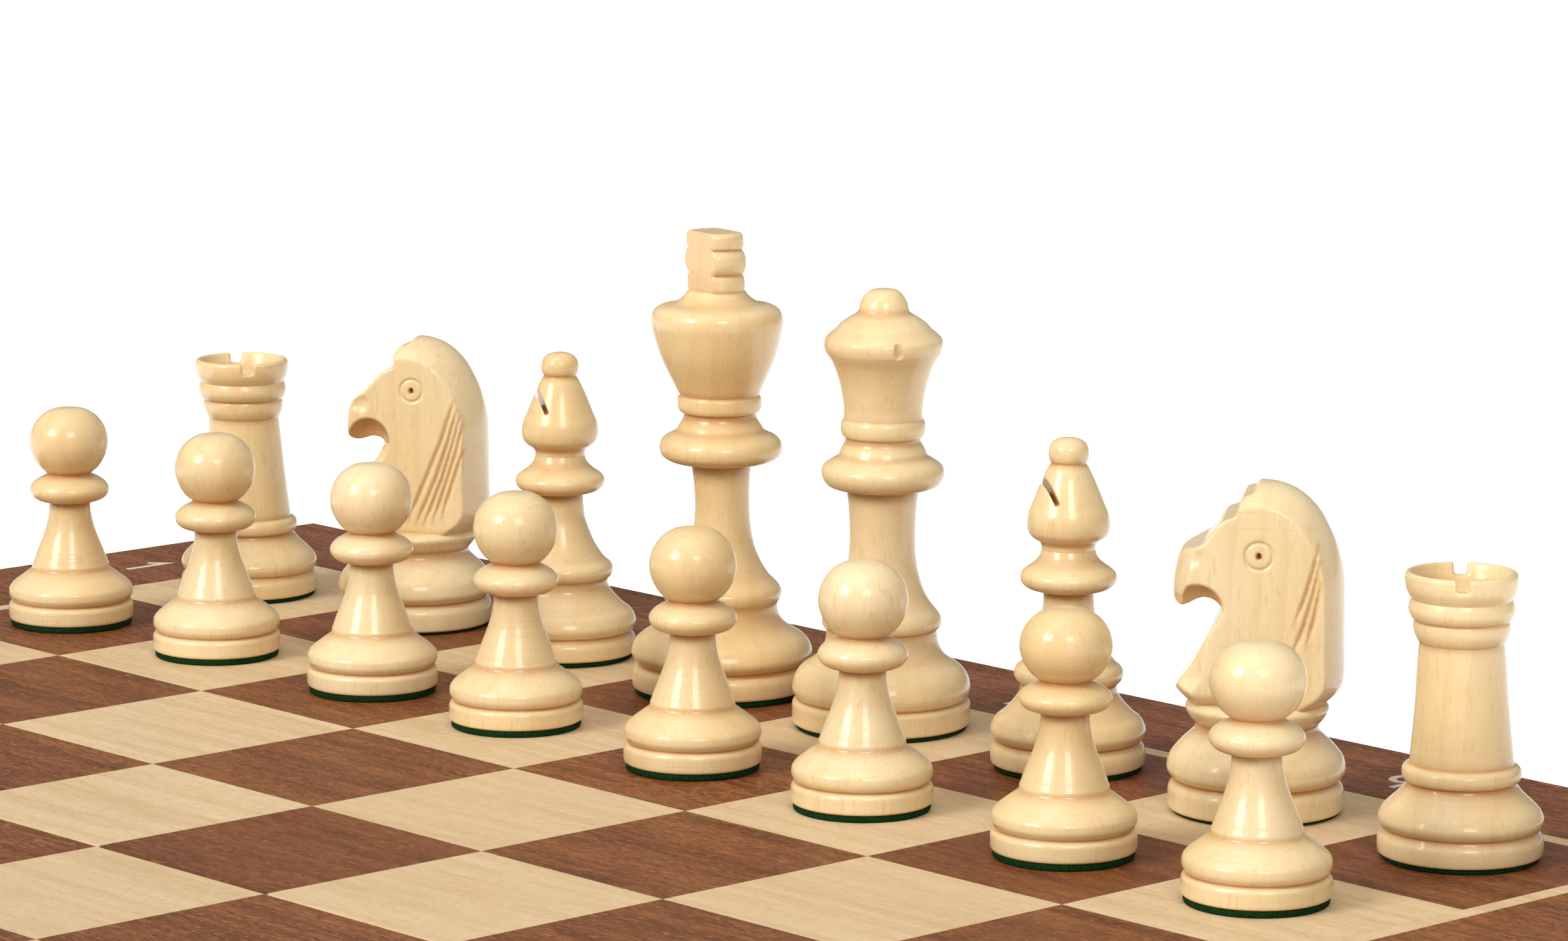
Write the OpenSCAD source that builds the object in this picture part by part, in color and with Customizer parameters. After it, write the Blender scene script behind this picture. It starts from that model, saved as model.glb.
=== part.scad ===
// Folding chess case with inlaid playing surface and thirty-two turned chessmen.
// Units: millimetres. +X runs from the a-file to the h-file, +Y from White's side
// to Black's side, +Z is up. The origin is the centre of the open board at the
// level of the surface that it stands on.

/* [Board] */
// Side of one square
square = 40; // [36:1:50]
// Width of the light stringing line round the playing field
string_w = 3.2; // [2:0.1:5]
// Extra depth of the outermost rank on each half
row_add = 1.8; // [0:0.1:3]
// Width of the dark border between the stringing and the edge
border_w = 29.8; // [24:0.2:40]
// Height of each half case, rim to playing surface
case_h = 26; // [22:1:34]
// Thickness of the frame rails
rail_t = 8; // [7:0.5:12]
// Thickness of the plywood panel
panel_t = 5; // [3:0.5:8]
// Thickness of the veneers
veneer_t = 0.6; // [0.5:0.1:1.2]
// Thickness of the felt lining inside each half
lining_t = 1; // [0.5:0.5:2]
// Gap between the two halves at the fold when open
seam_gap = 0.3; // [0.2:0.1:0.6]

/* [Hardware] */
// Radius of the hinge knuckles
knuckle_r = 1.3; // [1.3:0.1:1.6]
// Radius of the hinge pins
pin_r = 0.55; // [0.5:0.05:0.6]
// Length of a hinge leaf along the fold
leaf_l = 30; // [25:1:40]
// Width of a hinge leaf across the rail
leaf_w = 7.2; // [6.5:0.1:7.5]
// Thickness of a hinge leaf
leaf_t = 0.9; // [0.8:0.1:1]
// Distance of each hinge from the middle of the fold
hinge_x = 110; // [60:5:140]
// Distance of each closing hook from the middle of the case
hook_x = 100; // [60:5:140]
// Height of hook pivots and catch studs above the rim
hook_z = 9; // [8:0.5:11]

/* [Chessmen] */
// Foot radius of a pawn
pawn_foot = 10.8; // [10:0.1:11.5]
// Foot radius of a rook
rook_foot = 12.1; // [11.5:0.1:13]
// Foot radius of a knight
knight_foot = 13.5; // [13:0.1:14.5]
// Foot radius of a bishop
bishop_foot = 12.1; // [11.5:0.1:13]
// Foot radius of a queen
queen_foot = 14.3; // [13.8:0.1:15]
// Foot radius of a king
king_foot = 14.8; // [14.3:0.1:15.5]
// Thickness of the felt under each man
felt_t = 1.2; // [0.8:0.1:1.4]
// Thickness of a knight's head across its flat sides
knight_t = 15; // [12:0.5:17]

/* [Hidden] */
$fn = 48;
e = 0.02;
axis_z = knuckle_r;                 // height of the fold axis
rim_z = knuckle_r + 0.1;            // underside of the rails
top_z = rim_z + case_h;             // playing surface
ven_z = top_z - veneer_t;           // underside of the veneers
pan_z = ven_z - panel_t;            // underside of the panels
field = 4 * square;                 // half width of the playing field
half = field + string_w + border_w; // half width of the open board
y0 = seam_gap / 2;                  // face of each half at the fold
stand = top_z + e;                  // where the men's felts rest
glyph_h = 9.6;                      // height of the inlaid coordinates
inlay_t = 0.3;                      // depth of their pockets
mahogany = "#6b3b26";
maple = "#e3cda0";
boxwood = "#ecd9ae";
walnut_stain = "#4a2a1a";
brass = "#c9a24a";
felt_green = "#1f5a2e";
cream = "#e8e2c0";
ply = "#cdb183";

// ---------- board halves: s = -1 is White's half, s = 1 is Black's half ----------

module block(x0, x1, ya, yb, z0, z1) {
  translate([min(x0, x1), min(ya, yb), z0]) cube([abs(x1 - x0), abs(yb - ya), z1 - z0]);
}

// plywood panel let into the rebate of the rails
module panel(s) {
  m = rail_t / 2 + 0.05;
  block(-half + m, half - m, s * (y0 + m), s * (half - m), pan_z, ven_z);
}

// cross-section of a rail from its outer face inwards, with the rebate at the top
module rail_profile() {
  polygon([[0, rim_z], [rail_t, rim_z], [rail_t, pan_z], [rail_t / 2, pan_z], [rail_t / 2, ven_z], [0, ven_z]]);
}

// a rail of length len along X, outer face at y = 0, inside towards +Y, mitred ends
module rail(len) {
  g = 0.05;
  intersection() {
    translate([-len / 2, 0, 0]) rotate([90, 0, 90]) linear_extrude(len) rail_profile();
    translate([0, 0, rim_z - 1]) linear_extrude(case_h + 2)
      polygon([[-len / 2 + g, -1], [len / 2 - g, -1], [len / 2 - g - 0.001, 0], [len / 2 - g - rail_t - 1, rail_t + 1],
               [-len / 2 + g + rail_t + 1, rail_t + 1], [-len / 2 + g + 0.001, 0]]);
  }
}

module rails(s) {
  d = half - y0;
  difference() {
    union() {
      translate([0, s * half, 0]) rotate([0, 0, s > 0 ? 180 : 0]) rail(2 * half);
      translate([0, s * y0, 0]) rotate([0, 0, s > 0 ? 0 : 180]) rail(2 * half);
      for (k = [-1, 1]) translate([k * half, s * (y0 + d / 2), 0]) rotate([0, 0, k > 0 ? 90 : -90]) rail(d);
    }
    // hinge mortises, knuckle relief and pilot holes
    for (k = [-1, 1]) {
      block(k * hinge_x - leaf_l / 2 - 0.1, k * hinge_x + leaf_l / 2 + 0.1, s * (y0 - 1), s * (leaf_w + 0.1), rim_z - 1, rim_z + leaf_t);
      translate([k * hinge_x, 0, axis_z]) rotate([0, 90, 0]) cylinder(r = knuckle_r + 0.15, h = leaf_l + 0.2, center = true);
      for (j = [-1, 1]) translate([k * hinge_x + j * 9, s * 4.5, rim_z]) cylinder(r = 0.92, h = 9);
    }
    // pilot holes for the hook screws or catch studs
    for (k = [-1, 1]) translate([k * hook_x, s * (half + 1), rim_z + hook_z]) rotate([s * 90, 0, 0]) cylinder(r = 1.12, h = 7.2);
  }
}

// veneer squares of one colour; ranks counted away from the fold
module squares(s, dark) {
  for (f = [0:7], r = [0:3]) {
    // rank index 0..7 from White's side
    rank = s < 0 ? 3 - r : 4 + r;
    if (((f + rank) % 2 == 0) == dark)
      block((f - 4) * square + e, (f - 3) * square - e,
            s * (r == 0 ? y0 : r * square + e), s * ((r + 1) * square + (r == 3 ? row_add : 0) - e), ven_z, top_z);
  }
}

module stringing(s) {
  d = field + row_add;
  block(-field - string_w + e, field + string_w - e, s * (d + e), s * (d + string_w - e), ven_z, top_z);
  for (k = [-1, 1]) block(k * (field + e), k * (field + string_w - e), s * y0, s * (d - e), ven_z, top_z);
}

// plain block figures on a 4 by 6 grid, strokes one unit wide
// each entry is [x, y, w, h] in grid units
function glyph(c) =
  c == "1" ? [[0.6, 4, 1, 1], [1.6, 0, 1, 6]] :
  c == "2" ? [[0, 5, 3, 1], [3, 3, 1, 3], [0, 2.4, 4, 1], [0, 0, 1, 3], [0, 0, 4, 1]] :
  c == "3" ? [[0, 5, 4, 1], [3, 0, 1, 6], [1, 2.5, 3, 1], [0, 0, 4, 1]] :
  c == "4" ? [[0, 2, 1, 4], [0, 2, 4, 1], [2.6, 0, 1, 4]] :
  c == "5" ? [[0, 5, 4, 1], [0, 2.6, 1, 3], [0, 2.6, 4, 1], [3, 0, 1, 3], [0, 0, 4, 1]] :
  c == "6" ? [[0, 0, 1, 6], [0, 5, 4, 1], [0, 2.6, 4, 1], [3, 0, 1, 3], [0, 0, 4, 1]] :
  c == "7" ? [[0, 5, 4, 1], [3, 3, 1, 3], [2, 0, 1, 3.5], [2, 3, 2, 0.5]] :
  c == "8" ? [[0, 0, 1, 6], [3, 0, 1, 6], [0, 5, 4, 1], [0, 2.5, 4, 1], [0, 0, 4, 1]] :
  c == "a" ? [[0, 3, 4, 1], [3, 0, 1, 4], [0, 0, 1, 2.4], [0, 1.6, 4, 0.8], [0, 0, 4, 0.8]] :
  c == "b" ? [[0, 0, 1, 6], [0, 3, 4, 1], [3, 0, 1, 4], [0, 0, 4, 1]] :
  c == "c" ? [[0, 0, 1, 4], [0, 3, 4, 1], [0, 0, 4, 1]] :
  c == "d" ? [[3, 0, 1, 6], [0, 3, 4, 1], [0, 0, 1, 4], [0, 0, 4, 1]] :
  c == "e" ? [[0, 0, 1, 4], [0, 3, 4, 1], [3, 1.6, 1, 2], [0, 1.6, 4, 0.8], [0, 0, 4, 0.8]] :
  c == "f" ? [[1, 0, 1, 6], [1, 5, 2.6, 1], [0, 3, 3.2, 1]] :
  c == "g" ? [[0, 1, 1, 3], [0, 3, 4, 1], [3, -1.6, 1, 5.6], [0, 0.6, 4, 0.8], [0, -1.6, 4, 0.8]] :
             [[0, 0, 1, 6], [0, 3, 4, 1], [3, 0, 1, 4]];

// one flat figure centred on its grid, turned by a, in the top face of the border
module figure(c, x, y, a, z0, z1) {
  u = glyph_h / 6;
  translate([x, y, z0]) rotate([0, 0, a]) linear_extrude(z1 - z0)
    union() for (b = glyph(c)) translate([(b[0] - 2) * u, (b[1] - 3) * u]) square([b[2] * u, b[3] * u]);
}

module figures(s, z0, z1) {
  letters = "abcdefgh";
  digits = "12345678";
  m = field + string_w + border_w / 2 - 0.5;
  for (f = [0:7]) figure(letters[f], (f - 3.5) * square - s * 1.8, s * (m - 0.4), s < 0 ? 0 : 180, z0, z1);
  for (r = [0:3]) {
    rank = s < 0 ? 3 - r : 4 + r;
    y = s * (r + 0.5) * square;
    figure(digits[rank], -m, y + 1.6, 0, z0, z1);
    figure(digits[rank], m, y - 1.6, 180, z0, z1);
  }
}

// border veneer: an end strip and two side strips, pocketed for the figures
module border(s) {
  w = field + string_w;
  difference() {
    union() {
      block(-half, half, s * (w + row_add + e), s * half, ven_z, top_z);
      for (k = [-1, 1]) block(k * (w + e), k * half, s * y0, s * (w + row_add - e), ven_z, top_z);
    }
    figures(s, top_z - inlay_t, top_z + 1);
  }
}

module lining(s) {
  m = rail_t + 0.3;
  block(-half + m, half - m, s * (y0 + m), s * (half - m), pan_z - lining_t, pan_z);
}

// ---------- hardware ----------

// hinge leaves for one half: plates, their own knuckles, countersunk holes
module hinge_leaves(s) {
  n = 5;
  seg = leaf_l / n;
  bore = s < 0 ? pin_r + 0.01 : pin_r + 0.05;
  for (k = [-1, 1]) translate([k * hinge_x, 0, 0]) difference() {
    union() {
      block(-leaf_l / 2, leaf_l / 2, s * (knuckle_r + 0.4), s * leaf_w, rim_z, rim_z + leaf_t);
      for (i = [0:n - 1]) if ((i % 2 == 0) == (s < 0)) {
        xa = -leaf_l / 2 + i * seg + (i == 0 ? 0 : 0.1);
        xb = -leaf_l / 2 + (i + 1) * seg - (i == n - 1 ? 0 : 0.1);
        block(xa, xb, s * 0.7, s * (knuckle_r + 0.5), rim_z, rim_z + leaf_t);
        translate([xa, 0, axis_z]) rotate([0, 90, 0]) cylinder(r = knuckle_r, h = xb - xa);
      }
    }
    translate([-leaf_l / 2 - 1, 0, axis_z]) rotate([0, 90, 0]) cylinder(r = bore, h = leaf_l + 2);
    for (j = [-1, 1]) translate([j * 9, s * 4.5, rim_z - e]) cylinder(r1 = 1.97, r2 = 1.0, h = leaf_t + 2 * e);
  }
}

module countersunk_screw() {
  difference() {
    union() {
      cylinder(r1 = 1.9, r2 = 0.9, h = leaf_t);
      translate([0, 0, leaf_t - e]) cylinder(r = 0.9, h = 6);
      translate([0, 0, leaf_t + 6 - 2 * e]) cylinder(r1 = 0.9, r2 = 0.1, h = 1.5);
    }
    translate([-2.5, -0.25, -0.4]) cube([5, 0.5, 0.8]);
  }
}

module hinge_screw_set(s) {
  for (k = [-1, 1], j = [-1, 1]) translate([k * hinge_x + j * 9, s * 4.5, rim_z]) rotate([0, 0, 30 * j]) countersunk_screw();
}

// closing hook lying along +X from its pivot at the origin, plate from y = 0 to y = 1
module hook_shape() {
  l = 2 * (hook_z + 0.1);
  rotate([-90, 0, 0]) linear_extrude(1) difference() {
    union() {
      circle(r = 3.2);
      translate([0, -1.6]) square([l - 2, 3.2]);
      translate([l, -0.4]) circle(r = 3.4);
    }
    circle(r = 1.18);
    translate([l, 0]) circle(r = 1.5);
    translate([l - 1.5, 0]) square([3, 6]);
  }
}

module hook(k) {
  translate([k * hook_x, half + 0.1, rim_z + hook_z]) mirror([k > 0 ? 1 : 0, 0, 0]) hook_shape();
}

// round-headed screw or stud through the end rail, head outwards
module stud(s, k) {
  translate([k * hook_x, s * half, rim_z + hook_z]) rotate([-s * 90, 0, 0]) {
    translate([0, 0, -6]) cylinder(r = 1.1, h = 7.26);
    translate([0, 0, 1.25]) rotate_extrude() polygon([[0, 0], [2.3, 0], [2.3, 0.3], [1.9, 0.8], [1.1, 1.1], [0, 1.2]]);
  }
}

// ---------- chessmen: turned shapes, radius and height from the standing face ----------

function foot(r) = [[0, felt_t], [r - 0.5, felt_t], [r, felt_t + 0.6], [r, 4.0], [r - 0.7, 4.5], [r, 5.1]];

pawn_top = [[pawn_foot + 0.1, 5.9], [10.5, 7.1], [9.6, 8.2], [8.3, 9.1], [6.9, 9.8], [6.7, 10.3], [5.7, 12], [4.6, 14],
  [3.9, 16], [3.6, 18], [3.5, 21.5], [5.5, 22], [6.7, 23], [6.9, 24.1], [6.3, 25.2], [4.4, 26.3], [3.6, 26.7], [5, 27.9],
  [6.3, 29.8], [6.9, 32.4], [6.5, 34.6], [5.4, 36.4], [3.4, 37.7], [0, 38.1]];
rook_top = [[rook_foot + 0.1, 6.3], [11.6, 7.6], [10.2, 8.8], [9.2, 9.9], [8.5, 11], [8.4, 11.7], [8.9, 12.1], [9, 13],
  [8.5, 14], [7.7, 14.6], [6.2, 32.2], [6.9, 33], [7.1, 34], [7.1, 35.2], [6.8, 35.5], [7.5, 36], [7.8, 37], [7.5, 38.2],
  [7.5, 38.7], [8, 39.6], [8.3, 41], [8.2, 42.1], [7.9, 42.6], [6.9, 42.6], [6.4, 41], [4, 39.9], [0, 39.6]];
bishop_top = [[bishop_foot, 6.6], [11.3, 8], [9.9, 9.2], [8.6, 10.5], [7.8, 12], [7.6, 13.2], [7.8, 13.8], [8.5, 14.6],
  [8.6, 15.5], [8.2, 16.3], [7.3, 17], [6, 18.7], [4.9, 21.3], [4.2, 24], [3.9, 28], [5.6, 28.5], [7, 29.2], [7.6, 30.3],
  [7.4, 31], [6.3, 32], [5, 32.9], [4.4, 33.9], [4.2, 35.2], [4.9, 36.1], [6, 37], [6.4, 38.2], [6.3, 39.6], [5.5, 42],
  [4.8, 44], [3.9, 46], [2.8, 48.1], [3.1, 49.3], [3.1, 50.4], [2.3, 51.7], [0, 52.3]];
queen_top = [[queen_foot, 7.2], [13.6, 8.9], [12.4, 10.3], [10.6, 11.6], [9.6, 12.8], [9.1, 14.4], [8.9, 15.9], [9.5, 16.7],
  [9.6, 17.9], [8.9, 19.1], [7.8, 20.4], [6.7, 22.4], [5.8, 25.2], [5.3, 29], [5.3, 33], [5.6, 38.6], [8.2, 39.5],
  [9.6, 40.5], [9.9, 41.7], [9.5, 42.7], [8.2, 43.7], [7, 44.8], [6.5, 45.8], [6.1, 46.9], [6.7, 48.8], [6.6, 50.2],
  [6.3, 51.2], [6.5, 53], [6.9, 55.5], [7.5, 57.5], [8.4, 59.8], [9.2, 61.2], [9.5, 62.2], [9.2, 63.3], [8.1, 64.4],
  [7.1, 65.4], [5.6, 66.5], [4.2, 67.5], [3.9, 68.5], [3.4, 69.5], [2.4, 70.6], [1.6, 71], [0, 71]];
king_top = [[king_foot + 0.2, 7], [14.6, 8.3], [13.4, 9.7], [11.4, 11], [10.1, 12], [9.4, 13.2], [9.1, 14.6], [9.2, 15.3],
  [9.7, 16.2], [9.8, 17.2], [9.2, 18.2], [8.3, 19.3], [7.4, 20.4], [6.3, 22.2], [5.3, 24.8], [4.7, 28], [4.6, 32],
  [4.9, 38.2], [8.3, 39], [9.8, 40], [10.2, 41.1], [9.9, 42.3], [8.6, 43.2], [7, 44.2], [6.4, 45], [6.1, 45.9],
  [6.1, 46.6], [6.8, 47.2], [7, 48], [6.9, 49.5], [7.1, 50.5], [8.6, 54], [9.4, 56.2], [10.2, 58.6], [10.7, 60.5],
  [10.8, 62], [10.5, 63.3], [9.3, 64.5], [7.2, 65], [6.2, 65.4], [5.2, 66.2], [4.8, 67.1], [5.1, 68.5], [4.9, 69.6],
  [4.6, 69.9], [5.2, 70.5], [5.5, 72], [5.2, 73.6], [4.6, 74], [5, 74.4], [5, 76], [4.7, 76.7], [0, 76.8]];
knight_base = [[knight_foot + 0.1, 7.2], [13.1, 8.7], [12, 10.1], [10.5, 11.5], [9.6, 12.5], [9.3, 13.3], [9.5, 14],
  [10.4, 14.8], [10.9, 15.6], [10.9, 16.3], [10.5, 16.8], [0, 16.8]];
// blank that the knight's neck and crest are turned from
knight_blank = [[0, 16.7], [10.6, 16.7], [11.9, 17.6], [12.4, 18.9], [12.4, 21], [12.3, 24], [12, 29], [11.6, 35],
  [11.2, 38.5], [10.6, 41], [9.6, 44], [8.2, 46.6], [6.6, 48.4], [4.6, 49.8], [2.6, 50.5], [0, 50.8]];
// side outline of the knight's head, nose towards +X
knight_side = [[-10.2, 16.7], [-13, 17], [-13, 52], [0.8, 52], [0.8, 50.6], [1.1, 50], [1.6, 49.3], [3, 49], [3.6, 48.2],
  [3.8, 47], [4.3, 46.3], [5.8, 45.6], [6.8, 44.8], [7.8, 43.2], [9, 41.9], [11, 41], [12.2, 40.2], [12.7, 39.2],
  [13, 36.5], [13, 33.5], [12.6, 32.2], [12, 31.6], [11, 31.5], [10, 31.9], [9, 32.5], [7.5, 32.7], [6.3, 32.3],
  [5.3, 31.6], [5.1, 31], [5.8, 30], [7, 28], [8.5, 25.5], [10, 22.8], [11.3, 20.5], [11.8, 18.8], [11.7, 18.3],
  [10.8, 17.1], [10.2, 16.7]];

module turned(r, top) { rotate_extrude() polygon(concat(foot(r), top)); }
module felt(r) { cylinder(r = r - 0.7, h = felt_t - e); }

module pawn() { felt(pawn_foot); turned(pawn_foot, pawn_top); }
module rook() {
  felt(rook_foot);
  difference() {
    turned(rook_foot, rook_top);
    translate([-15, -0.95, 40.7]) cube([30, 1.9, 5]);
  }
}
// mitre cut enters on the +X side and runs steeply down
module bishop() {
  felt(bishop_foot);
  difference() {
    turned(bishop_foot, bishop_top);
    translate([2.9, 0, 42.2]) rotate([0, 17, 0]) translate([0, -9, 0]) cube([0.9, 18, 8]);
  }
}
module queen() {
  felt(queen_foot);
  difference() {
    turned(queen_foot, queen_top);
    for (a = [0:90:270]) rotate([0, 0, a]) translate([9.6, 0, 60.6]) rotate([0, -12, 0]) cylinder(r = 0.9, h = 6);
  }
}
module king() {
  felt(king_foot);
  difference() {
    turned(king_foot, king_top);
    for (k = [-1, 1]) translate([k * 8.15 - 5, -10, 66.4]) cube([10, 20, 12]);
  }
}
module knight() {
  felt(knight_foot);
  turned(knight_foot, knight_base);
  intersection() {
    rotate([90, 0, 0]) translate([0, 0, -knight_t / 2]) linear_extrude(knight_t) polygon(knight_side);
    union() {
      rotate_extrude() polygon(knight_blank);
      translate([0, -knight_t, 29]) cube([14, 2 * knight_t, 22]);
    }
  }
}

// a man's place: file 0..7, rank 0..7, offset from the centre of the square, turned by a
module place(f, r, dx, dy, a) {
  translate([(f - 3.5) * square + dx, (r - 3.5) * square + dy, stand]) rotate([0, 0, a]) children();
}

// ---------- sub-parts ----------

module panel_white() { color(ply) panel(-1); }
module panel_black() { color(ply) panel(1); }
module rails_white() { color(mahogany) rails(-1); }
module rails_black() { color(mahogany) rails(1); }
module dark_squares_white() { color(mahogany) squares(-1, true); }
module dark_squares_black() { color(mahogany) squares(1, true); }
module light_squares_white() { color(maple) squares(-1, false); }
module light_squares_black() { color(maple) squares(1, false); }
module stringing_white() { color(maple) stringing(-1); }
module stringing_black() { color(maple) stringing(1); }
module border_white() { color(mahogany) border(-1); }
module border_black() { color(mahogany) border(1); }
module coordinates_white() { color(cream) figures(-1, top_z - inlay_t + e, top_z); }
module coordinates_black() { color(cream) figures(1, top_z - inlay_t + e, top_z); }
module lining_white() { color(felt_green) lining(-1); }
module lining_black() { color(felt_green) lining(1); }

module hinge_leaves_white() { color(brass) hinge_leaves(-1); }
module hinge_leaves_black() { color(brass) hinge_leaves(1); }
module hinge_pins() {
  color(brass) for (k = [-1, 1]) translate([k * hinge_x, 0, axis_z]) rotate([0, 90, 0])
    cylinder(r = pin_r, h = leaf_l - 0.2, center = true);
}
module hinge_screws_white() { color(brass) hinge_screw_set(-1); }
module hinge_screws_black() { color(brass) hinge_screw_set(1); }
module hook_left() { color(brass) hook(-1); }
module hook_right() { color(brass) hook(1); }
module hook_screws() { color(brass) for (k = [-1, 1]) stud(1, k); }
module catch_studs() { color(brass) for (k = [-1, 1]) stud(-1, k); }

module white_rook_a()   { color(boxwood) place(0, 0, 1.6, -4.2, 132.5) rook(); }
module white_knight_b() { color(boxwood) place(1, 0, 3, -4.9, 39) knight(); }
module white_bishop_c() { color(boxwood) place(2, 0, 2.9, -4.9, 47) bishop(); }
module white_queen_d()  { color(boxwood) place(3, 0, 4.8, -4.6, 61) queen(); }
module white_king_e()   { color(boxwood) place(4, 0, 2.4, -4, 82) king(); }
module white_bishop_f() { color(boxwood) place(5, 0, 2.8, -4.5, 45) bishop(); }
module white_knight_g() { color(boxwood) place(6, 0, 2.8, -4.5, 35) knight(); }
module white_rook_h()   { color(boxwood) place(7, 0, 3.7, 0.6, 150) rook(); }
module white_pawn_a()   { color(boxwood) place(0, 1, 2.8, -1.8, 0) pawn(); }
module white_pawn_b()   { color(boxwood) place(1, 1, 1, -1.6, 20) pawn(); }
module white_pawn_c()   { color(boxwood) place(2, 1, 3.5, -1.2, 60) pawn(); }
module white_pawn_d()   { color(boxwood) place(3, 1, 1.9, -1.2, 80) pawn(); }
module white_pawn_e()   { color(boxwood) place(4, 1, 4.7, -1.4, 110) pawn(); }
module white_pawn_f()   { color(boxwood) place(5, 1, 1.6, -1.5, 200) pawn(); }
module white_pawn_g()   { color(boxwood) place(6, 1, 2.9, -0.8, 150) pawn(); }
module white_pawn_h()   { color(boxwood) place(7, 1, 2.1, 1.1, 310) pawn(); }

module black_rook_a()   { color(walnut_stain) place(0, 7, 0.5, 1.5, 95) rook(); }
module black_knight_b() { color(walnut_stain) place(1, 7, -0.5, 1, 262) knight(); }
module black_bishop_c() { color(walnut_stain) place(2, 7, 1, 0.5, 270) bishop(); }
module black_queen_d()  { color(walnut_stain) place(3, 7, 0, 1, 40) queen(); }
module black_king_e()   { color(walnut_stain) place(4, 7, 0.5, 0.5, 88) king(); }
module black_bishop_f() { color(walnut_stain) place(5, 7, -1, 1, 268) bishop(); }
module black_knight_g() { color(walnut_stain) place(6, 7, 0.5, 1.5, 275) knight(); }
module black_rook_h()   { color(walnut_stain) place(7, 7, -0.5, 1, 92) rook(); }
// the a-pawn waits on the border beside the rook, at Black's right hand
module black_pawn_a()   { color(walnut_stain) place(0, 7, -38, 18, 0) pawn(); }
module black_pawn_b()   { color(walnut_stain) place(1, 6, 0.5, 1, 30) pawn(); }
module black_pawn_c()   { color(walnut_stain) place(2, 6, -1, 0.5, 70) pawn(); }
module black_pawn_d()   { color(walnut_stain) place(3, 6, 0.5, -0.5, 120) pawn(); }
module black_pawn_e()   { color(walnut_stain) place(4, 6, 1, 0.5, 10) pawn(); }
module black_pawn_f()   { color(walnut_stain) place(5, 6, -0.5, 1, 220) pawn(); }
module black_pawn_g()   { color(walnut_stain) place(6, 6, 0, 0.5, 160) pawn(); }
module black_pawn_h()   { color(walnut_stain) place(7, 6, 1, -0.5, 300) pawn(); }

panel_white();
rails_white();
dark_squares_white();
light_squares_white();
stringing_white();
border_white();
coordinates_white();
lining_white();
panel_black();
rails_black();
dark_squares_black();
light_squares_black();
stringing_black();
border_black();
coordinates_black();
lining_black();
hinge_leaves_white();
hinge_leaves_black();
hinge_pins();
hinge_screws_white();
hinge_screws_black();
hook_left();
hook_right();
hook_screws();
catch_studs();
white_rook_a();
white_knight_b();
white_bishop_c();
white_queen_d();
white_king_e();
white_bishop_f();
white_knight_g();
white_rook_h();
white_pawn_a();
white_pawn_b();
white_pawn_c();
white_pawn_d();
white_pawn_e();
white_pawn_f();
white_pawn_g();
white_pawn_h();
black_rook_a();
black_knight_b();
black_bishop_c();
black_queen_d();
black_king_e();
black_bishop_f();
black_knight_g();
black_rook_h();
black_pawn_a();
black_pawn_b();
black_pawn_c();
black_pawn_d();
black_pawn_e();
black_pawn_f();
black_pawn_g();
black_pawn_h();
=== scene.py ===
import bpy
import math
import random
import numpy as np
from mathutils import Matrix, Vector


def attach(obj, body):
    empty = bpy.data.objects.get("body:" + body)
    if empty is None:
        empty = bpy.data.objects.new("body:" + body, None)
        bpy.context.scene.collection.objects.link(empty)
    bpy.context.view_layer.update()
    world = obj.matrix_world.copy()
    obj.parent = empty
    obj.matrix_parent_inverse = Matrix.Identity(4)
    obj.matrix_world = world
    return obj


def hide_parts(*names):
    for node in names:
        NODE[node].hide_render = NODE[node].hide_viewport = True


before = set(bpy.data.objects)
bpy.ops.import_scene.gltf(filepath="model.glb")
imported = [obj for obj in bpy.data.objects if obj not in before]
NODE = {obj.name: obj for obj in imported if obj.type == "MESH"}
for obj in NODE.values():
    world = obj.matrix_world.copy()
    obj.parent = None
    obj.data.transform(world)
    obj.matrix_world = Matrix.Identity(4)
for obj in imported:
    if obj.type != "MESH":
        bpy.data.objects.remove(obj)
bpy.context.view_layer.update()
MM = 0.001
TOP = 27.4          # playing surface, mm
VEN = 26.8          # underside of the veneers
SQ = 40.0
FIELD = 160.0
STRING = 163.2
ROW_ADD = 1.8       # the outermost ranks are this much deeper, mm
HALF = 193.0
Y0 = 0.15

# ------------------------------------------------------------------ shader helpers


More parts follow.
